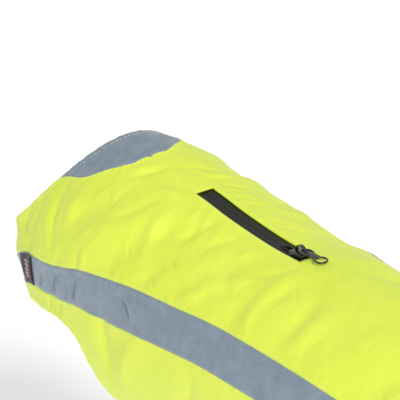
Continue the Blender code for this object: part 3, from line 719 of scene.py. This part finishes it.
def lay_grid(patch, points, flip=False, gap=None):
    """Adds a grid of faces through a table of points. gap(column, row) says what to leave out.

    Its UVs are metres along the middle row and down each column.
    """
    rows, columns = points.shape[0] - 1, points.shape[1] - 1
    made = bmesh.ops.create_grid(patch, x_segments=columns, y_segments=rows, size=1)["verts"]
    faces = list({face for vertex in made for face in vertex.link_faces})
    if flip:
        bmesh.ops.reverse_faces(patch, faces=faces)
    steps = np.linalg.norm(np.diff(points[rows // 2], axis=0), axis=-1)
    u = np.concatenate(([0], np.cumsum(steps))) * MM
    drops = np.linalg.norm(np.diff(points, axis=0), axis=-1)
    v = np.concatenate((np.zeros((1, columns + 1)), np.cumsum(drops, axis=0))) * MM
    place = {vertex: (round((vertex.co.y + 1) / 2 * rows), round((vertex.co.x + 1) / 2 * columns))
             for vertex in made}
    left_out = []
    if gap:
        for face in faces:
            middle = face.calc_center_median()
            if gap((middle.x + 1) / 2 * columns, (middle.y + 1) / 2 * rows):
                left_out.append(face)
    layer = patch.loops.layers.uv.verify()
    for face in faces:
        for loop in face.loops:
            i, j = place[loop.vert]
            loop[layer].uv = (u[j], v[i, j])
    for vertex, (i, j) in place.items():
        vertex.co = Vector(points[i, j]) * MM
    bmesh.ops.delete(patch, geom=left_out, context="FACES")


def finish_piece(name, patch, material, node=None, wall=None, body="vest", smooth_angle=60):
    """Turns a bmesh into a piece that rides on a body, with a wall if it is a sheet."""
    mesh = bpy.data.meshes.new(name)
    patch.to_mesh(mesh)
    patch.free()
    mesh.materials.append(material)
    mesh.shade_smooth()
    mesh.set_sharp_from_angle(angle=math.radians(smooth_angle))
    obj = bpy.data.objects.new(name, mesh)
    bpy.context.scene.collection.objects.link(obj)
    if wall:
        solid = obj.modifiers.new("wall", "SOLIDIFY")
        solid.thickness = wall * MM
        solid.offset = 1.0
    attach(obj, body)
    if node:
        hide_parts(node)
    print(f"{name}: {len(mesh.polygons)} faces")
    return obj


def declare_sheet(obj, width, length):
    """Prints a piece's cut size, width by length in mm, and the area of its faces."""
    patch = bmesh.new()
    patch.from_mesh(obj.data)
    area = sum(face.calc_area() for face in patch.faces)
    patch.free()
    print(f"{obj.name}: cut from {width} x {length} mm, {area * 1e4:.0f} square cm")


# %% [markdown]
# ## The back panel
# On the real vest this is one piece of cloth from stripe to stripe, closed round the chest,
# with a window for the zip. It is made as two mirrored grids that meet at the back's middle
# line. The first few rows of each run straight beside the window, and faces there are left
# out between the window's two ends.

# %% Back panel
NEAR_ROWS = 8             # mesh rows from the middle line to the window's edge
FAR_ROWS = 70             # and on down to the stripe


def degrees_across(ring, distance):
    """Angle that some mm round the body from the middle line take up."""
    return distance / np.linalg.norm(directions(ring, 0 * ring)[1], axis=-1)


def rear_relief(ring, along):
    """The hem along the rear edge, whose distance is told by the ring."""
    return hem_relief((REAR_RING - ring) * REAR_MM_PER_RING, along) * (ring > REAR_RING - 0.5)


def back_panel_points(side):
    row = np.linspace(0, REAR_ROW, REAR_ROW * COLUMNS_PER_ROW + 1)
    over_nape = (row > TIP_ROW) & (row < NAPE_ROW + 0.01)
    trim = np.where(over_nape, GAP / 2, 0.0)
    near = np.concatenate((np.linspace(0, 1, NEAR_ROWS + 1), np.ones(FAR_ROWS)))[:, None]
    far = np.concatenate((np.zeros(NEAR_ROWS), crowd(FAR_ROWS)))[:, None]
    top_ring, top_angle = strip(top_edge, stripe_edge, row, 0 * row, 1, (trim, GAP / 2))[:2]
    low_ring, low_angle = strip(top_edge, stripe_edge, row, 0 * row + 1, 1, (trim, GAP / 2))[:2]
    length = np.linalg.norm(plain_form(low_ring, low_angle) - plain_form(top_ring, top_angle), axis=-1)
    first_ring = top_ring + (low_ring - top_ring) * WINDOW_HALF / length
    first_angle = top_angle + (low_angle - top_angle) * WINDOW_HALF / length
    # Along the zip the first rows end on a line square to the back's middle line.
    square = np.clip((row - NAPE_ROW) / (WINDOW_ROWS[0] - NAPE_ROW), 0, 1)
    first_ring = first_ring + (top_ring - first_ring) * square
    first_angle = first_angle + (degrees_across(top_ring, WINDOW_HALF) - first_angle) * square
    ring = top_ring + (first_ring - top_ring) * near + (low_ring - first_ring) * far
    angle = top_angle + (first_angle - top_angle) * near + (low_angle - first_angle) * far
    to_stripe = (1 - far) * (length - WINDOW_HALF) + (1 - near) * WINDOW_HALF
    to_top = near * WINDOW_HALF + far * (length - WINDOW_HALF)
    along = strip(top_edge, stripe_edge, row, 0 * row, 1)[4]
    relief = seam_relief(to_stripe, along)
    # Over the top, the edge is a hem round the neck, a seam under the nape panel, the
    # window's edge along the zip, and no edge at all on the rest of the middle line.
    neck = np.clip((TIP_ROW + 0.2 - row) / 0.4, 0, 1)
    nape = np.clip((row - TIP_ROW + 0.2) / 0.4, 0, 1) * np.clip((NAPE_ROW + 0.1 - row) / 0.2, 0, 1)
    beside = ((row >= WINDOW_ROWS[0]) & (row <= WINDOW_ROWS[1])) * 1.0
    relief = relief + neck * hem_relief(to_top, along) + nape * seam_relief(to_top, along)
    relief = relief + beside * seam_relief(np.maximum(to_top - WINDOW_HALF, 0), along) * (near >= 1)
    relief = relief + rear_relief(ring, to_stripe)
    return cloth(ring, side * angle, relief)


def make_back_panel():
    patch = bmesh.new()
    first, last = (row * COLUMNS_PER_ROW for row in WINDOW_ROWS)
    for side in (-1, 1):
        lay_grid(patch, back_panel_points(side), flip=side < 0,
                 gap=lambda column, row: row < NEAR_ROWS and first < column < last)
    bmesh.ops.remove_doubles(patch, verts=patch.verts, dist=0.02 * MM)
    return finish_piece("back_panel_cloth", patch, yellow_cloth, "back_panel", WALL)


back_panel = make_back_panel()
declare_sheet(back_panel, 250, 500)

# %% [markdown]
# ## Stripes and lower bands
# The reflective stripe is sewn between the back panel and the lower band on each side. All
# four pieces are strips between two seams, so one function makes them.

# %% Stripes and lower bands
STRIPE_ROWS = 26
BAND_ROWS = 44


def strip_points(upper, lower, rows, side):
    row = np.linspace(0, REAR_ROW, REAR_ROW * COLUMNS_PER_ROW + 1)
    hem = lower is hem_edge
    trims = (GAP / 2, 0.0 if hem else GAP / 2)
    ring, angle, to_upper, to_lower, along = strip(upper, lower, row, crowd(rows)[:, None], side, trims)
    relief = seam_relief(to_upper, along)
    relief = relief + (hem_relief if hem else seam_relief)(to_lower, along + 3)
    relief = relief + rear_relief(ring, to_upper)
    limit = 180 - CHEST_GAP_ANGLE
    return cloth(ring, np.clip(angle, -limit, limit), relief)


def make_strip(name, node, upper, lower, rows, side, material):
    patch = bmesh.new()
    lay_grid(patch, strip_points(upper, lower, rows, side), flip=side < 0)
    return finish_piece(name, patch, material, node, WALL)


for side, word in ((-1, "left"), (1, "right")):
    stripe = make_strip(f"stripe_{word}_cloth", f"stripe_{word}", stripe_edge, stripe_low_edge,
                        STRIPE_ROWS, side, reflective_cloth)
    declare_sheet(stripe, 40, 540)
    band = make_strip(f"lower_band_{word}_cloth", f"lower_band_{word}", stripe_low_edge, hem_edge,
                      BAND_ROWS, side, yellow_cloth)
    declare_sheet(band, 80, 520)

# %% [markdown]
# ## The nape panel
# A crescent of reflective cloth lies over the nape, between the neckline and the back panel.

# %% Nape panel
NAPE_ROWS = 34


def nape_ring(row, share):
    """Ring at a share of the way from the neckline to the panel's lower edge."""
    ring, angle = top_edge(row)
    length = np.linalg.norm(plain_form(ring, angle) - plain_form(0 * ring, angle), axis=-1)
    length = np.maximum(length, 1e-6)
    return ring * share * np.maximum(1 - GAP / 2 / length, 0), angle, length


def nape_points():
    columns = 2 * (NAPE_ROW - TIP_ROW) * COLUMNS_PER_ROW
    u = np.linspace(0, 1, columns + 1)
    row = TIP_ROW + (NAPE_ROW - TIP_ROW) * (1 - np.abs(2 * u - 1))
    share = crowd(NAPE_ROWS)[:, None]
    ring, angle, length = nape_ring(row, share)
    along = np.concatenate(([0], np.cumsum(np.linalg.norm(
        np.diff(plain_form(ring[-1], np.sign(u - 0.5) * angle), axis=0), axis=-1))))
    wide = np.clip(length / 12, 0, 1)
    relief = wide * (seam_relief((1 - share) * length, along) + hem_relief(share * length, along))
    return cloth(ring, np.sign(u - 0.5) * angle, relief)


def make_nape_panel():
    patch = bmesh.new()
    lay_grid(patch, nape_points(), flip=True)
    bmesh.ops.remove_doubles(patch, verts=patch.verts, dist=0.02 * MM)
    return finish_piece("nape_panel_cloth", patch, reflective_cloth, "nape_panel", WALL)


nape_panel = make_nape_panel()
declare_sheet(nape_panel, 50, 110)

# %% [markdown]
# ## The label
# A small black damask label is sewn over the left stripe by its ends. It lies between the
# same two seams as the stripe, a little higher. Its plain bars are floats of a second
# thread, so they stand up from the weave by a little over a tenth of a millimetre.

# %% Label
LABEL_WALL = 0.8
BAR_ROWS = (4.02, 4.7)
BAR_SHARES = ((0.22, 0.29), (0.34, 0.43), (0.48, 0.57), (0.62, 0.70), (0.75, 0.80))
BAR_WALL = 0.3
BAR_LIFT = WALL + GAP + LABEL_WALL - 0.15


def on_stripe(rows, shares, columns, lines, lift):
    """Points over part of the left stripe: rows of SEAMS, and shares of its width."""
    row = np.linspace(*rows, columns + 1)
    share = np.linspace(*shares, lines + 1)[:, None]
    ring, angle = strip(stripe_edge, stripe_low_edge, row, share, -1, (2 * GAP, 2 * GAP))[:2]
    return cloth(ring, angle, lift)


patch = bmesh.new()
lay_grid(patch, on_stripe(LABEL_ROWS, (0, 1), 40, 30, WALL + GAP), flip=True)
label = finish_piece("label_weave", patch, label_weave, "label", LABEL_WALL)
declare_sheet(label, 20, 28)
patch = bmesh.new()
for shares in BAR_SHARES:
    lay_grid(patch, on_stripe(BAR_ROWS, shares, 14, 3, BAR_LIFT), flip=True)
finish_piece("label_bars", patch, label_thread, wall=BAR_WALL)

# %% [markdown]
# ## Belly strap and its patches
# A cloth strap is sewn to the left lower band, passes under the belly and closes on the
# right with a hook patch on a loop patch. All three are bands round the same ring of the
# form, each lifted over what it lies on, and the strap's two long edges are hemmed.

# %% Belly strap
STRAP_RING = 6.9
STRAP_FROM, STRAP_TO = 136.0, 248.0       # degrees round, from the left over the belly
PATCH_FROM, PATCH_TO = 220.0, 244.0
STRAP_LIFT_FROM, STRAP_LIFT_OVER = 150.0, 60.0
STRAP_WIDTH, PATCH_WIDTH = 38.0, 34.0
PATCH_WALL = 1.0
ON_CLOTH = WALL + GAP
ON_LOOP = ON_CLOTH + PATCH_WALL + GAP
ON_PATCHES = ON_LOOP + PATCH_WALL + GAP


def strap_points(start, end, width, lifts, columns, lines, hemmed):
    """A band round the belly. It rises from the first of lifts to the second."""
    turn = np.linspace(start, end, columns + 1)
    share = crowd(lines)[:, None]
    mm_per_ring = np.linalg.norm(directions(STRAP_RING, 180.0)[0])
    ring = STRAP_RING + (share - 0.5) * width / mm_per_ring
    rise = np.clip((turn - STRAP_LIFT_FROM) / STRAP_LIFT_OVER, 0, 1)
    lift = lifts[0] + (lifts[1] - lifts[0]) * rise + 0 * share
    if hemmed:
        along = (turn - start) * 1.2
        lift = lift + 0.6 * (hem_relief(share * width, along) + hem_relief((1 - share) * width, along + 4))
    return cloth(ring, np.where(turn < 180, -turn, 360 - turn), lift, creased=False)


def make_strap_piece(name, node, start, end, width, lifts, wall, material, columns):
    patch = bmesh.new()
    hemmed = node == "belly_strap"
    lay_grid(patch, strap_points(start, end, width, lifts, columns, 26, hemmed))
    return finish_piece(name, patch, material, node, wall)


strap = make_strap_piece("belly_strap_cloth", "belly_strap", STRAP_FROM, STRAP_TO, STRAP_WIDTH,
                         (ON_CLOTH, ON_PATCHES), WALL, yellow_cloth, 150)
declare_sheet(strap, STRAP_WIDTH, 175)
loop = make_strap_piece("loop_pile_patch", "loop_patch", PATCH_FROM, PATCH_TO, PATCH_WIDTH,
                        (ON_CLOTH, ON_CLOTH), PATCH_WALL, loop_pile, 40)
declare_sheet(loop, PATCH_WIDTH, 40)
hook = make_strap_piece("hook_tape_patch", "hook_patch", PATCH_FROM, PATCH_TO, PATCH_WIDTH,
                        (ON_LOOP, ON_LOOP), PATCH_WALL, hook_tape, 40)
declare_sheet(hook, PATCH_WIDTH, 40)

# %% [markdown]
# ## The zip's tapes and coil
# It is a reversed coil zip: two coated tapes meet edge to edge over the coil. They lie shut
# along most of the window and are bent apart ahead of the slider, where the glossy coil
# shows. Each tape is a sheet whose inner edge follows that opening. The coil's loops are
# short rounded bars that reach past each other in turn from both sides.

# %% Tapes and coil
FILM_LIFT, FILM_WALL = -1.3, 0.6
TAPE_MARGIN, TAPE_END = 4.0, 5.0      # tape under the cloth beside and past the window
SLIDER_FROM_END = 8.0
PART_FROM, PART_OVER = 21.0, 5.0      # mm ahead of the slider's middle where the tapes part
PART_HALF = 2.7                       # half of the opening between them
EDGE_RISE = 0.5                       # bent-up edge of a parted tape
LOOP_PITCH = 1.25
LOOP_SIZE = (0.62, 3.4, 0.6)
LOOP_LIFT = -1.0
CORE_LIFT, CORE_WALL, CORE_HALF = -2.1, 0.4, 5.0   # the dark woven back behind the coil

zip_start, zip_end = window_rings()
start_mm, end_mm = np.linalg.norm(directions(np.array((zip_start, zip_end)), np.zeros(2))[0], axis=-1)
slider_ring = zip_end - SLIDER_FROM_END / end_mm


def parted(ring):
    """From 0 where the tapes meet to 1 where they are fully apart."""
    share = np.clip(((ring - slider_ring) * end_mm + PART_FROM) / PART_OVER, 0, 1)
    return share ** 2 * (3 - 2 * share)


def tape_points(side):
    ring = np.linspace(zip_start - TAPE_END / start_mm, zip_end + TAPE_END / end_mm, 131)
    share = crowd(18)[:, None]
    inner = GAP / 2 + PART_HALF * parted(ring)
    distance = inner + share * (WINDOW_HALF + TAPE_MARGIN - inner)
    from_edge = distance - inner
    lift = FILM_LIFT + EDGE_RISE * parted(ring) * np.exp(-(from_edge / 1.1) ** 2)
    lift = lift - 0.25 * np.exp(-(from_edge / 0.5) ** 2) * (1 - parted(ring))
    angle = side * degrees_across(ring, 1.0) * distance
    return cloth(ring + 0 * share, angle, lift, creased=False)


for side, word in ((-1, "left"), (1, "right")):
    patch = bmesh.new()
    lay_grid(patch, tape_points(side), flip=side < 0)
    tape = finish_piece(f"zip_tape_{word}_film", patch, zip_film, f"zip_tape_{word}", FILM_WALL)
    declare_sheet(tape, 11, 113)


def zip_frame(ring):
    """Matrix on the zip's line: X to the rear along it, Z out of the cloth."""
    along, round_body, out = directions(ring, 0.0)
    x, z = Vector(along).normalized(), Vector(out)
    place = Matrix((x, z.cross(x), z)).transposed().to_4x4()
    place.translation = Vector(cloth(ring, 0.0, creased=False)) * MM
    return place


def move_mesh(patch, matrix, vertices=None):
    bmesh.ops.transform(patch, matrix=matrix, verts=vertices or patch.verts)


def add_block(patch, size, middle, bevel, segments=2):
    """Adds a bevelled block, in mm, and gives back its vertices."""
    made = bmesh.ops.create_cube(patch, size=1)["verts"]
    place = Matrix.Translation(Vector(middle) * MM) @ Matrix.Diagonal((*(Vector(size) * MM), 1))
    move_mesh(patch, place, made)
    edges = list({edge for vertex in made for edge in vertex.link_edges})
    rounded = bmesh.ops.bevel(patch, geom=edges, offset=bevel * MM, segments=segments, profile=0.5,
                              affect="EDGES", material=-1)
    return list({vertex for face in rounded["faces"] for vertex in face.verts})


patch = bmesh.new()
loop_count = int((PART_FROM - 2) / LOOP_PITCH)
for index in range(loop_count):
    side = 1 if index % 2 else -1
    place = zip_frame(slider_ring - (PART_FROM - 1.5 - index * LOOP_PITCH) / end_mm)
    made = add_block(patch, LOOP_SIZE, (0, side * 0.75, LOOP_LIFT), 0.22)
    move_mesh(patch, place, made)
finish_piece("zip_coil", patch, coil_nylon)
patch = bmesh.new()
ring = np.linspace(zip_start, zip_end, 61)
across = np.linspace(-CORE_HALF, CORE_HALF, 11)[:, None]
lay_grid(patch, cloth(ring + 0 * across, degrees_across(ring, 1.0) * across, CORE_LIFT, creased=False))
finish_piece("zip_coil_core", patch, coil_nylon, wall=CORE_WALL)

# %% [markdown]
# ## Slider and pull
# The slider is die-cast zinc under black lacquer: two plates joined by a wedge at its front,
# side walls that hold the tapes, and an arch for the pull. The pull is an eye through the
# arch, a flat tab and a ring. It swings, so it rides on its own body.

# %% Slider
SLIDER_LENGTH, SLIDER_FRONT, SLIDER_REAR, SLIDER_HEIGHT = 12.0, 10.0, 7.6, 2.7
BAIL_LENGTH, BAIL_RISE, BAIL_WIDTH, BAIL_THICK = 10.0, 4.3, 2.0, 0.9
BAIL_SUNK = 0.7


def add_bail(patch):
    """The arch: a flat bar bent over from front to rear, its feet in the top plate."""
    feet = SLIDER_HEIGHT - BAIL_SUNK
    section = []
    for off, y in ((0, -1), (0, 1), (-1, 1), (-1, -1)):
        x = BAIL_LENGTH / 2 + off * BAIL_THICK
        section.append(patch.verts.new((x * MM, y * BAIL_WIDTH / 2 * MM, 0)))
    face = patch.faces.new(section)
    before = set(patch.verts) - set(section)
    bmesh.ops.spin(patch, geom=[face], cent=(0, 0, 0), axis=(0, -1, 0), angle=math.pi, steps=28)
    made = [vertex for vertex in patch.verts if vertex not in before]
    rise = (SLIDER_HEIGHT + BAIL_RISE - feet) / (BAIL_LENGTH / 2)
    move_mesh(patch, Matrix.Translation((0, 0, feet * MM)) @ Matrix.Diagonal((1, 1, rise, 1)), made)


patch = bmesh.new()
add_block(patch, (SLIDER_LENGTH, SLIDER_FRONT, 1.0), (0, 0, SLIDER_HEIGHT - 0.5), 0.42, 3)
add_block(patch, (SLIDER_LENGTH - 1, SLIDER_FRONT - 1, 0.7), (0, 0, 0.35), 0.25)
add_block(patch, (3.6, 2.4, 1.7), (-3.6, 0, 1.25), 0.3)
for side in (-1, 1):
    add_block(patch, (7.4, 0.8, 1.8), (1.6, side * (SLIDER_FRONT / 2 - 0.45), 1.6), 0.25)
for vertex in patch.verts:
    share = vertex.co.x / (SLIDER_LENGTH * MM) + 0.5
    vertex.co.y *= 1 - share * (1 - SLIDER_REAR / SLIDER_FRONT)
add_bail(patch)
bmesh.ops.recalc_face_normals(patch, faces=patch.faces)
slider_place = zip_frame(slider_ring)
move_mesh(patch, slider_place)
finish_piece("zip_slider_cast", patch, black_zinc, "zip_slider", smooth_angle=35)

# %% Pull
AXIS_BACK, AXIS_UP = 2.0, 4.3
EYE_LENGTH, EYE_WIDTH, EYE_WIRE = 8.4, 6.4, 1.5
TAB_LENGTH, TAB_WIDTH, TAB_THICK, TAB_SUNK = 5.6, 4.6, 1.7, 0.5
RING_WIDTH, RING_WIRE = 7.6, 1.3
PULL_DROOP = 2.0


def add_wire_loop(patch, length, width, wire, middle, steps=56, sides=14):
    """A closed oval of round wire lying flat, its length along X, all in mm."""
    before = set(patch.verts)
    turn = Matrix.Rotation(math.radians(90), 4, "X")
    section = bmesh.ops.create_circle(patch, segments=sides, radius=wire / 2 * MM, matrix=turn)["verts"]
    radius = 1.0
    bmesh.ops.translate(patch, verts=section, vec=(radius, 0, 0))
    edges = list({edge for vertex in section for edge in vertex.link_edges})
    bmesh.ops.spin(patch, geom=edges, cent=(0, 0, 0), axis=(0, 0, 1), angle=math.tau,
                   steps=steps, use_merge=True)
    for vertex in set(patch.verts) - before:
        flat = Vector((vertex.co.x, vertex.co.y, 0))
        heading = flat.normalized()
        oval = Vector((heading.x * length / 2, heading.y * width / 2, 0)) * MM
        outward = Vector((heading.x / length, heading.y / width, 0)).normalized()
        vertex.co = (oval + outward * (flat.length - radius) + Vector((0, 0, vertex.co.z))
                     + Vector(middle) * MM)


patch = bmesh.new()
add_wire_loop(patch, EYE_LENGTH, EYE_WIDTH, EYE_WIRE, (EYE_LENGTH / 2, 0, 0))
ring_middle = EYE_LENGTH + TAB_LENGTH - 2 * TAB_SUNK + RING_WIDTH / 2
add_wire_loop(patch, RING_WIDTH, RING_WIDTH, RING_WIRE, (ring_middle, 0, 0))
before = set(patch.faces)
tab_middle = EYE_LENGTH + TAB_LENGTH / 2 - TAB_SUNK
add_block(patch, (TAB_LENGTH, TAB_WIDTH, TAB_THICK), (tab_middle, 0, 0), 0.4, 3)
for face in set(patch.faces) - before:
    face.material_index = 1
bmesh.ops.recalc_face_normals(patch, faces=patch.faces)
axis_place = slider_place @ Matrix.Translation(Vector((AXIS_BACK, 0, AXIS_UP)) * MM)
move_mesh(patch, axis_place @ Matrix.Rotation(math.radians(PULL_DROOP), 4, "Y"))
pull = finish_piece("zip_pull_cast", patch, black_zinc, "zip_pull", body="pull", smooth_angle=35)
pull.data.materials.append(grey_zinc)

# %% [markdown]
# ## Stitches
# Rows of lockstitch hold every seam and hem. One stitch is a short thread that is thickest
# in its middle, so a stretched ball of twenty faces is enough at this size, and a row is
# laid along a line that keeps a set distance from a seam.

# %% Stitches
STITCH, PITCH, THREAD = 2.3, 3.1, 0.5     # a stitch's length, the step from one to the next, thickness
FROM_SEAM, FROM_WINDOW = 1.8, 1.7         # from an edge to its row of stitches
FROM_LABEL_END = 0.07     # in rows of SEAMS
FROM_PATCH_EDGE, FROM_STRAP_EDGE = 2.5, 4.0
PROUD = 0.1               # how far a thread's middle lies above the strap
HALF_PROUD = PROUD / 2    # and above thinner cloth


def lay_stitches(patch, line, out):
    """Adds stitches along a line of points, in mm, with the outward direction at each."""
    steps = np.linalg.norm(np.diff(line, axis=0), axis=-1)
    travelled = np.concatenate(([0], np.cumsum(steps)))
    for middle in np.arange(PITCH / 2, travelled[-1] - PITCH / 2, PITCH):
        centre, ahead, behind, normal = (
            Vector([np.interp(place, travelled, data[:, axis]) for axis in range(3)])
            for place, data in ((middle, line), (middle + STITCH / 2, line),
                                (middle - STITCH / 2, line), (middle, out)))
        x = (ahead - behind).normalized()
        z = (normal - x * normal.dot(x)).normalized()
        place = Matrix((x, z.cross(x), z)).transposed().to_4x4()
        place.translation = centre * MM
        size = Matrix.Diagonal((STITCH / 2 * MM, THREAD / 2 * MM, THREAD / 2 * MM, 1))
        bmesh.ops.create_icosphere(patch, subdivisions=1, radius=1, matrix=place @ size)


def strip_line(upper, lower, side, down=None, up=None, rows=(0, REAR_ROW), hem=False):
    """A line some mm down from a strip's upper seam or up from its lower, on the cloth."""
    row = np.linspace(*rows, int((rows[1] - rows[0]) * COLUMNS_PER_ROW) + 1)
    length = strip(upper, lower, row, 0 * row, side)[3]
    share = down / length if up is None else 1 - up / length
    ring, angle, to_upper, to_lower, along = strip(upper, lower, row, share, side)
    whole = np.linspace(0, REAR_ROW, REAR_ROW * COLUMNS_PER_ROW + 1)
    along = np.interp(row, whole, strip(upper, lower, whole, 0 * whole, side)[4])
    relief = hem_relief if hem else seam_relief
    away = to_upper if up is None else to_lower
    lift = WALL + relief(away, along if up is None or upper is top_edge else along + 3)
    return cloth(ring, angle, lift), directions(ring, angle)[2]


yellow_rows, pale_rows, dark_rows = bmesh.new(), bmesh.new(), bmesh.new()
for side in (-1, 1):
    lay_stitches(yellow_rows, *strip_line(top_edge, stripe_edge, side, up=FROM_SEAM))
    lay_stitches(yellow_rows, *strip_line(stripe_low_edge, hem_edge, side, down=FROM_SEAM))
    lay_stitches(yellow_rows, *strip_line(stripe_low_edge, hem_edge, side, up=HEM_WIDTH, hem=True))
    lay_stitches(yellow_rows, *strip_line(top_edge, stripe_edge, side, down=HEM_WIDTH,
                                          rows=(0, TIP_ROW - 0.05), hem=True))
    lay_stitches(yellow_rows, *strip_line(top_edge, stripe_edge, side, down=FROM_SEAM,
                                          rows=(TIP_ROW + 0.1, NAPE_ROW)))
    ring = np.linspace(zip_start, zip_end, 60)
    angle = side * degrees_across(ring, WINDOW_HALF + FROM_WINDOW)
    lay_stitches(yellow_rows, cloth(ring, angle, WALL + ROLL_RISE), directions(ring, angle)[2])
turn = np.linspace(-84, 84, 300)
ring = REAR_RING - HEM_WIDTH / REAR_MM_PER_RING + 0 * turn
lay_stitches(yellow_rows, cloth(ring, turn, WALL + HALF_PROUD), directions(ring, turn)[2])

u = np.linspace(0.06, 0.94, 160)
row = TIP_ROW + (NAPE_ROW - TIP_ROW) * (1 - np.abs(2 * u - 1))
ring, angle, length = nape_ring(row, 1.0)
ring = ring * np.minimum(HEM_WIDTH / length, 0.5)
angle = np.sign(u - 0.5) * angle
lay_stitches(pale_rows, cloth(ring, angle, WALL + HALF_PROUD), directions(ring, angle)[2])

for row_at in (LABEL_ROWS[0] + FROM_LABEL_END, LABEL_ROWS[1] - FROM_LABEL_END):
    share = np.linspace(0.05, 0.95, 20)
    ring, angle = strip(stripe_edge, stripe_low_edge, row_at + 0 * share, share, -1)[:2]
    lay_stitches(dark_rows, cloth(ring, angle, ON_CLOTH + LABEL_WALL + HALF_PROUD),
                 directions(ring, angle)[2])
mm_per_ring = np.linalg.norm(directions(STRAP_RING, 180.0)[0])
for half in (-1, 1):
    turn = np.linspace(PATCH_FROM + 1, PATCH_TO - 1, 40)
    ring = STRAP_RING + half * (PATCH_WIDTH / 2 - FROM_PATCH_EDGE) / mm_per_ring + 0 * turn
    lay_stitches(yellow_rows, cloth(ring, 360 - turn, ON_PATCHES + WALL + PROUD, creased=False),
                 directions(ring, 360 - turn)[2])
for turn_at, lift in ((STRAP_FROM + 2.5, ON_CLOTH), (STRAP_FROM + 15, ON_CLOTH),
                      (PATCH_FROM + 1, ON_PATCHES), (PATCH_TO - 1, ON_PATCHES)):
    ring = STRAP_RING + np.linspace(-0.5, 0.5, 20) * (STRAP_WIDTH - 2 * FROM_STRAP_EDGE) / mm_per_ring
    angle = (-turn_at if turn_at < 180 else 360 - turn_at) + 0 * ring
    lay_stitches(yellow_rows, cloth(ring, angle, lift + WALL + PROUD, creased=False),
                 directions(ring, angle)[2])
finish_piece("yellow_stitches", yellow_rows, yellow_thread)
finish_piece("nape_stitches", pale_rows, pale_thread)
finish_piece("label_stitches", dark_rows, black_thread)

# %% [markdown]
# ## Floor and light
# A pale floor lies well below, where the wearer would stand. A soft light stands above the
# camera and to its right, in a white surround, as in a bright product photograph.

# %% Floor and light
FLOOR_MM = -420.0
FLOOR_SIZE = 16.0         # metres
FLOOR_GLOW = 0.22
SURROUND_STRENGTH = 0.54


def make_floor():
    patch = bmesh.new()
    bmesh.ops.create_grid(patch, x_segments=1, y_segments=1, size=FLOOR_SIZE / 2)
    bmesh.ops.translate(patch, verts=patch.verts, vec=(0, 0, FLOOR_MM * MM))
    mesh = bpy.data.meshes.new("floor")
    patch.to_mesh(mesh)
    patch.free()
    # A faint glow stands for the many lights that keep a studio's white floor white. From
    # below the floor is clear, so that the vest's underside can be looked at too.
    material, tree, shader = new_finish("matt_white_floor", "FDFDFD", 0.9, {
        "Emission Color": from_hex("FFFFFF"), "Emission Strength": FLOOR_GLOW})
    below = add_node(tree, "ShaderNodeNewGeometry").outputs["Backfacing"]
    clear = add_node(tree, "ShaderNodeBsdfTransparent").outputs["BSDF"]
    either = add_node(tree, "ShaderNodeMixShader", None, {0: below, 1: shader.outputs["BSDF"], 2: clear})
    tree.links.new(either.outputs["Shader"], tree.nodes["Material Output"].inputs["Surface"])
    mesh.materials.append(material)
    floor = bpy.data.objects.new("floor", mesh)
    bpy.context.scene.collection.objects.link(floor)


def add_soft_light(name, azimuth, elevation, power, size, distance):
    """A square light, in watts and metres, that faces the vest's middle."""
    right, up, back = view_axes(math.radians(azimuth), math.radians(elevation))
    data = bpy.data.lights.new(name, "AREA")
    data.energy = power
    data.size = size
    light = bpy.data.objects.new(name, data)
    light.matrix_world = Matrix((right, up, back)).transposed().to_4x4()
    light.matrix_world.translation = back * distance + Vector((0.05, 0, -0.05))
    bpy.context.scene.collection.objects.link(light)


make_floor()
add_soft_light("key", azimuth=74, elevation=42, power=235, size=1.0, distance=6.0)
world = bpy.data.worlds.new("white_surround")
world.use_nodes = True
world.node_tree.nodes["Background"].inputs["Color"].default_value = (1, 1, 1, 1)
world.node_tree.nodes["Background"].inputs["Strength"].default_value = SURROUND_STRENGTH
bpy.context.scene.world = world
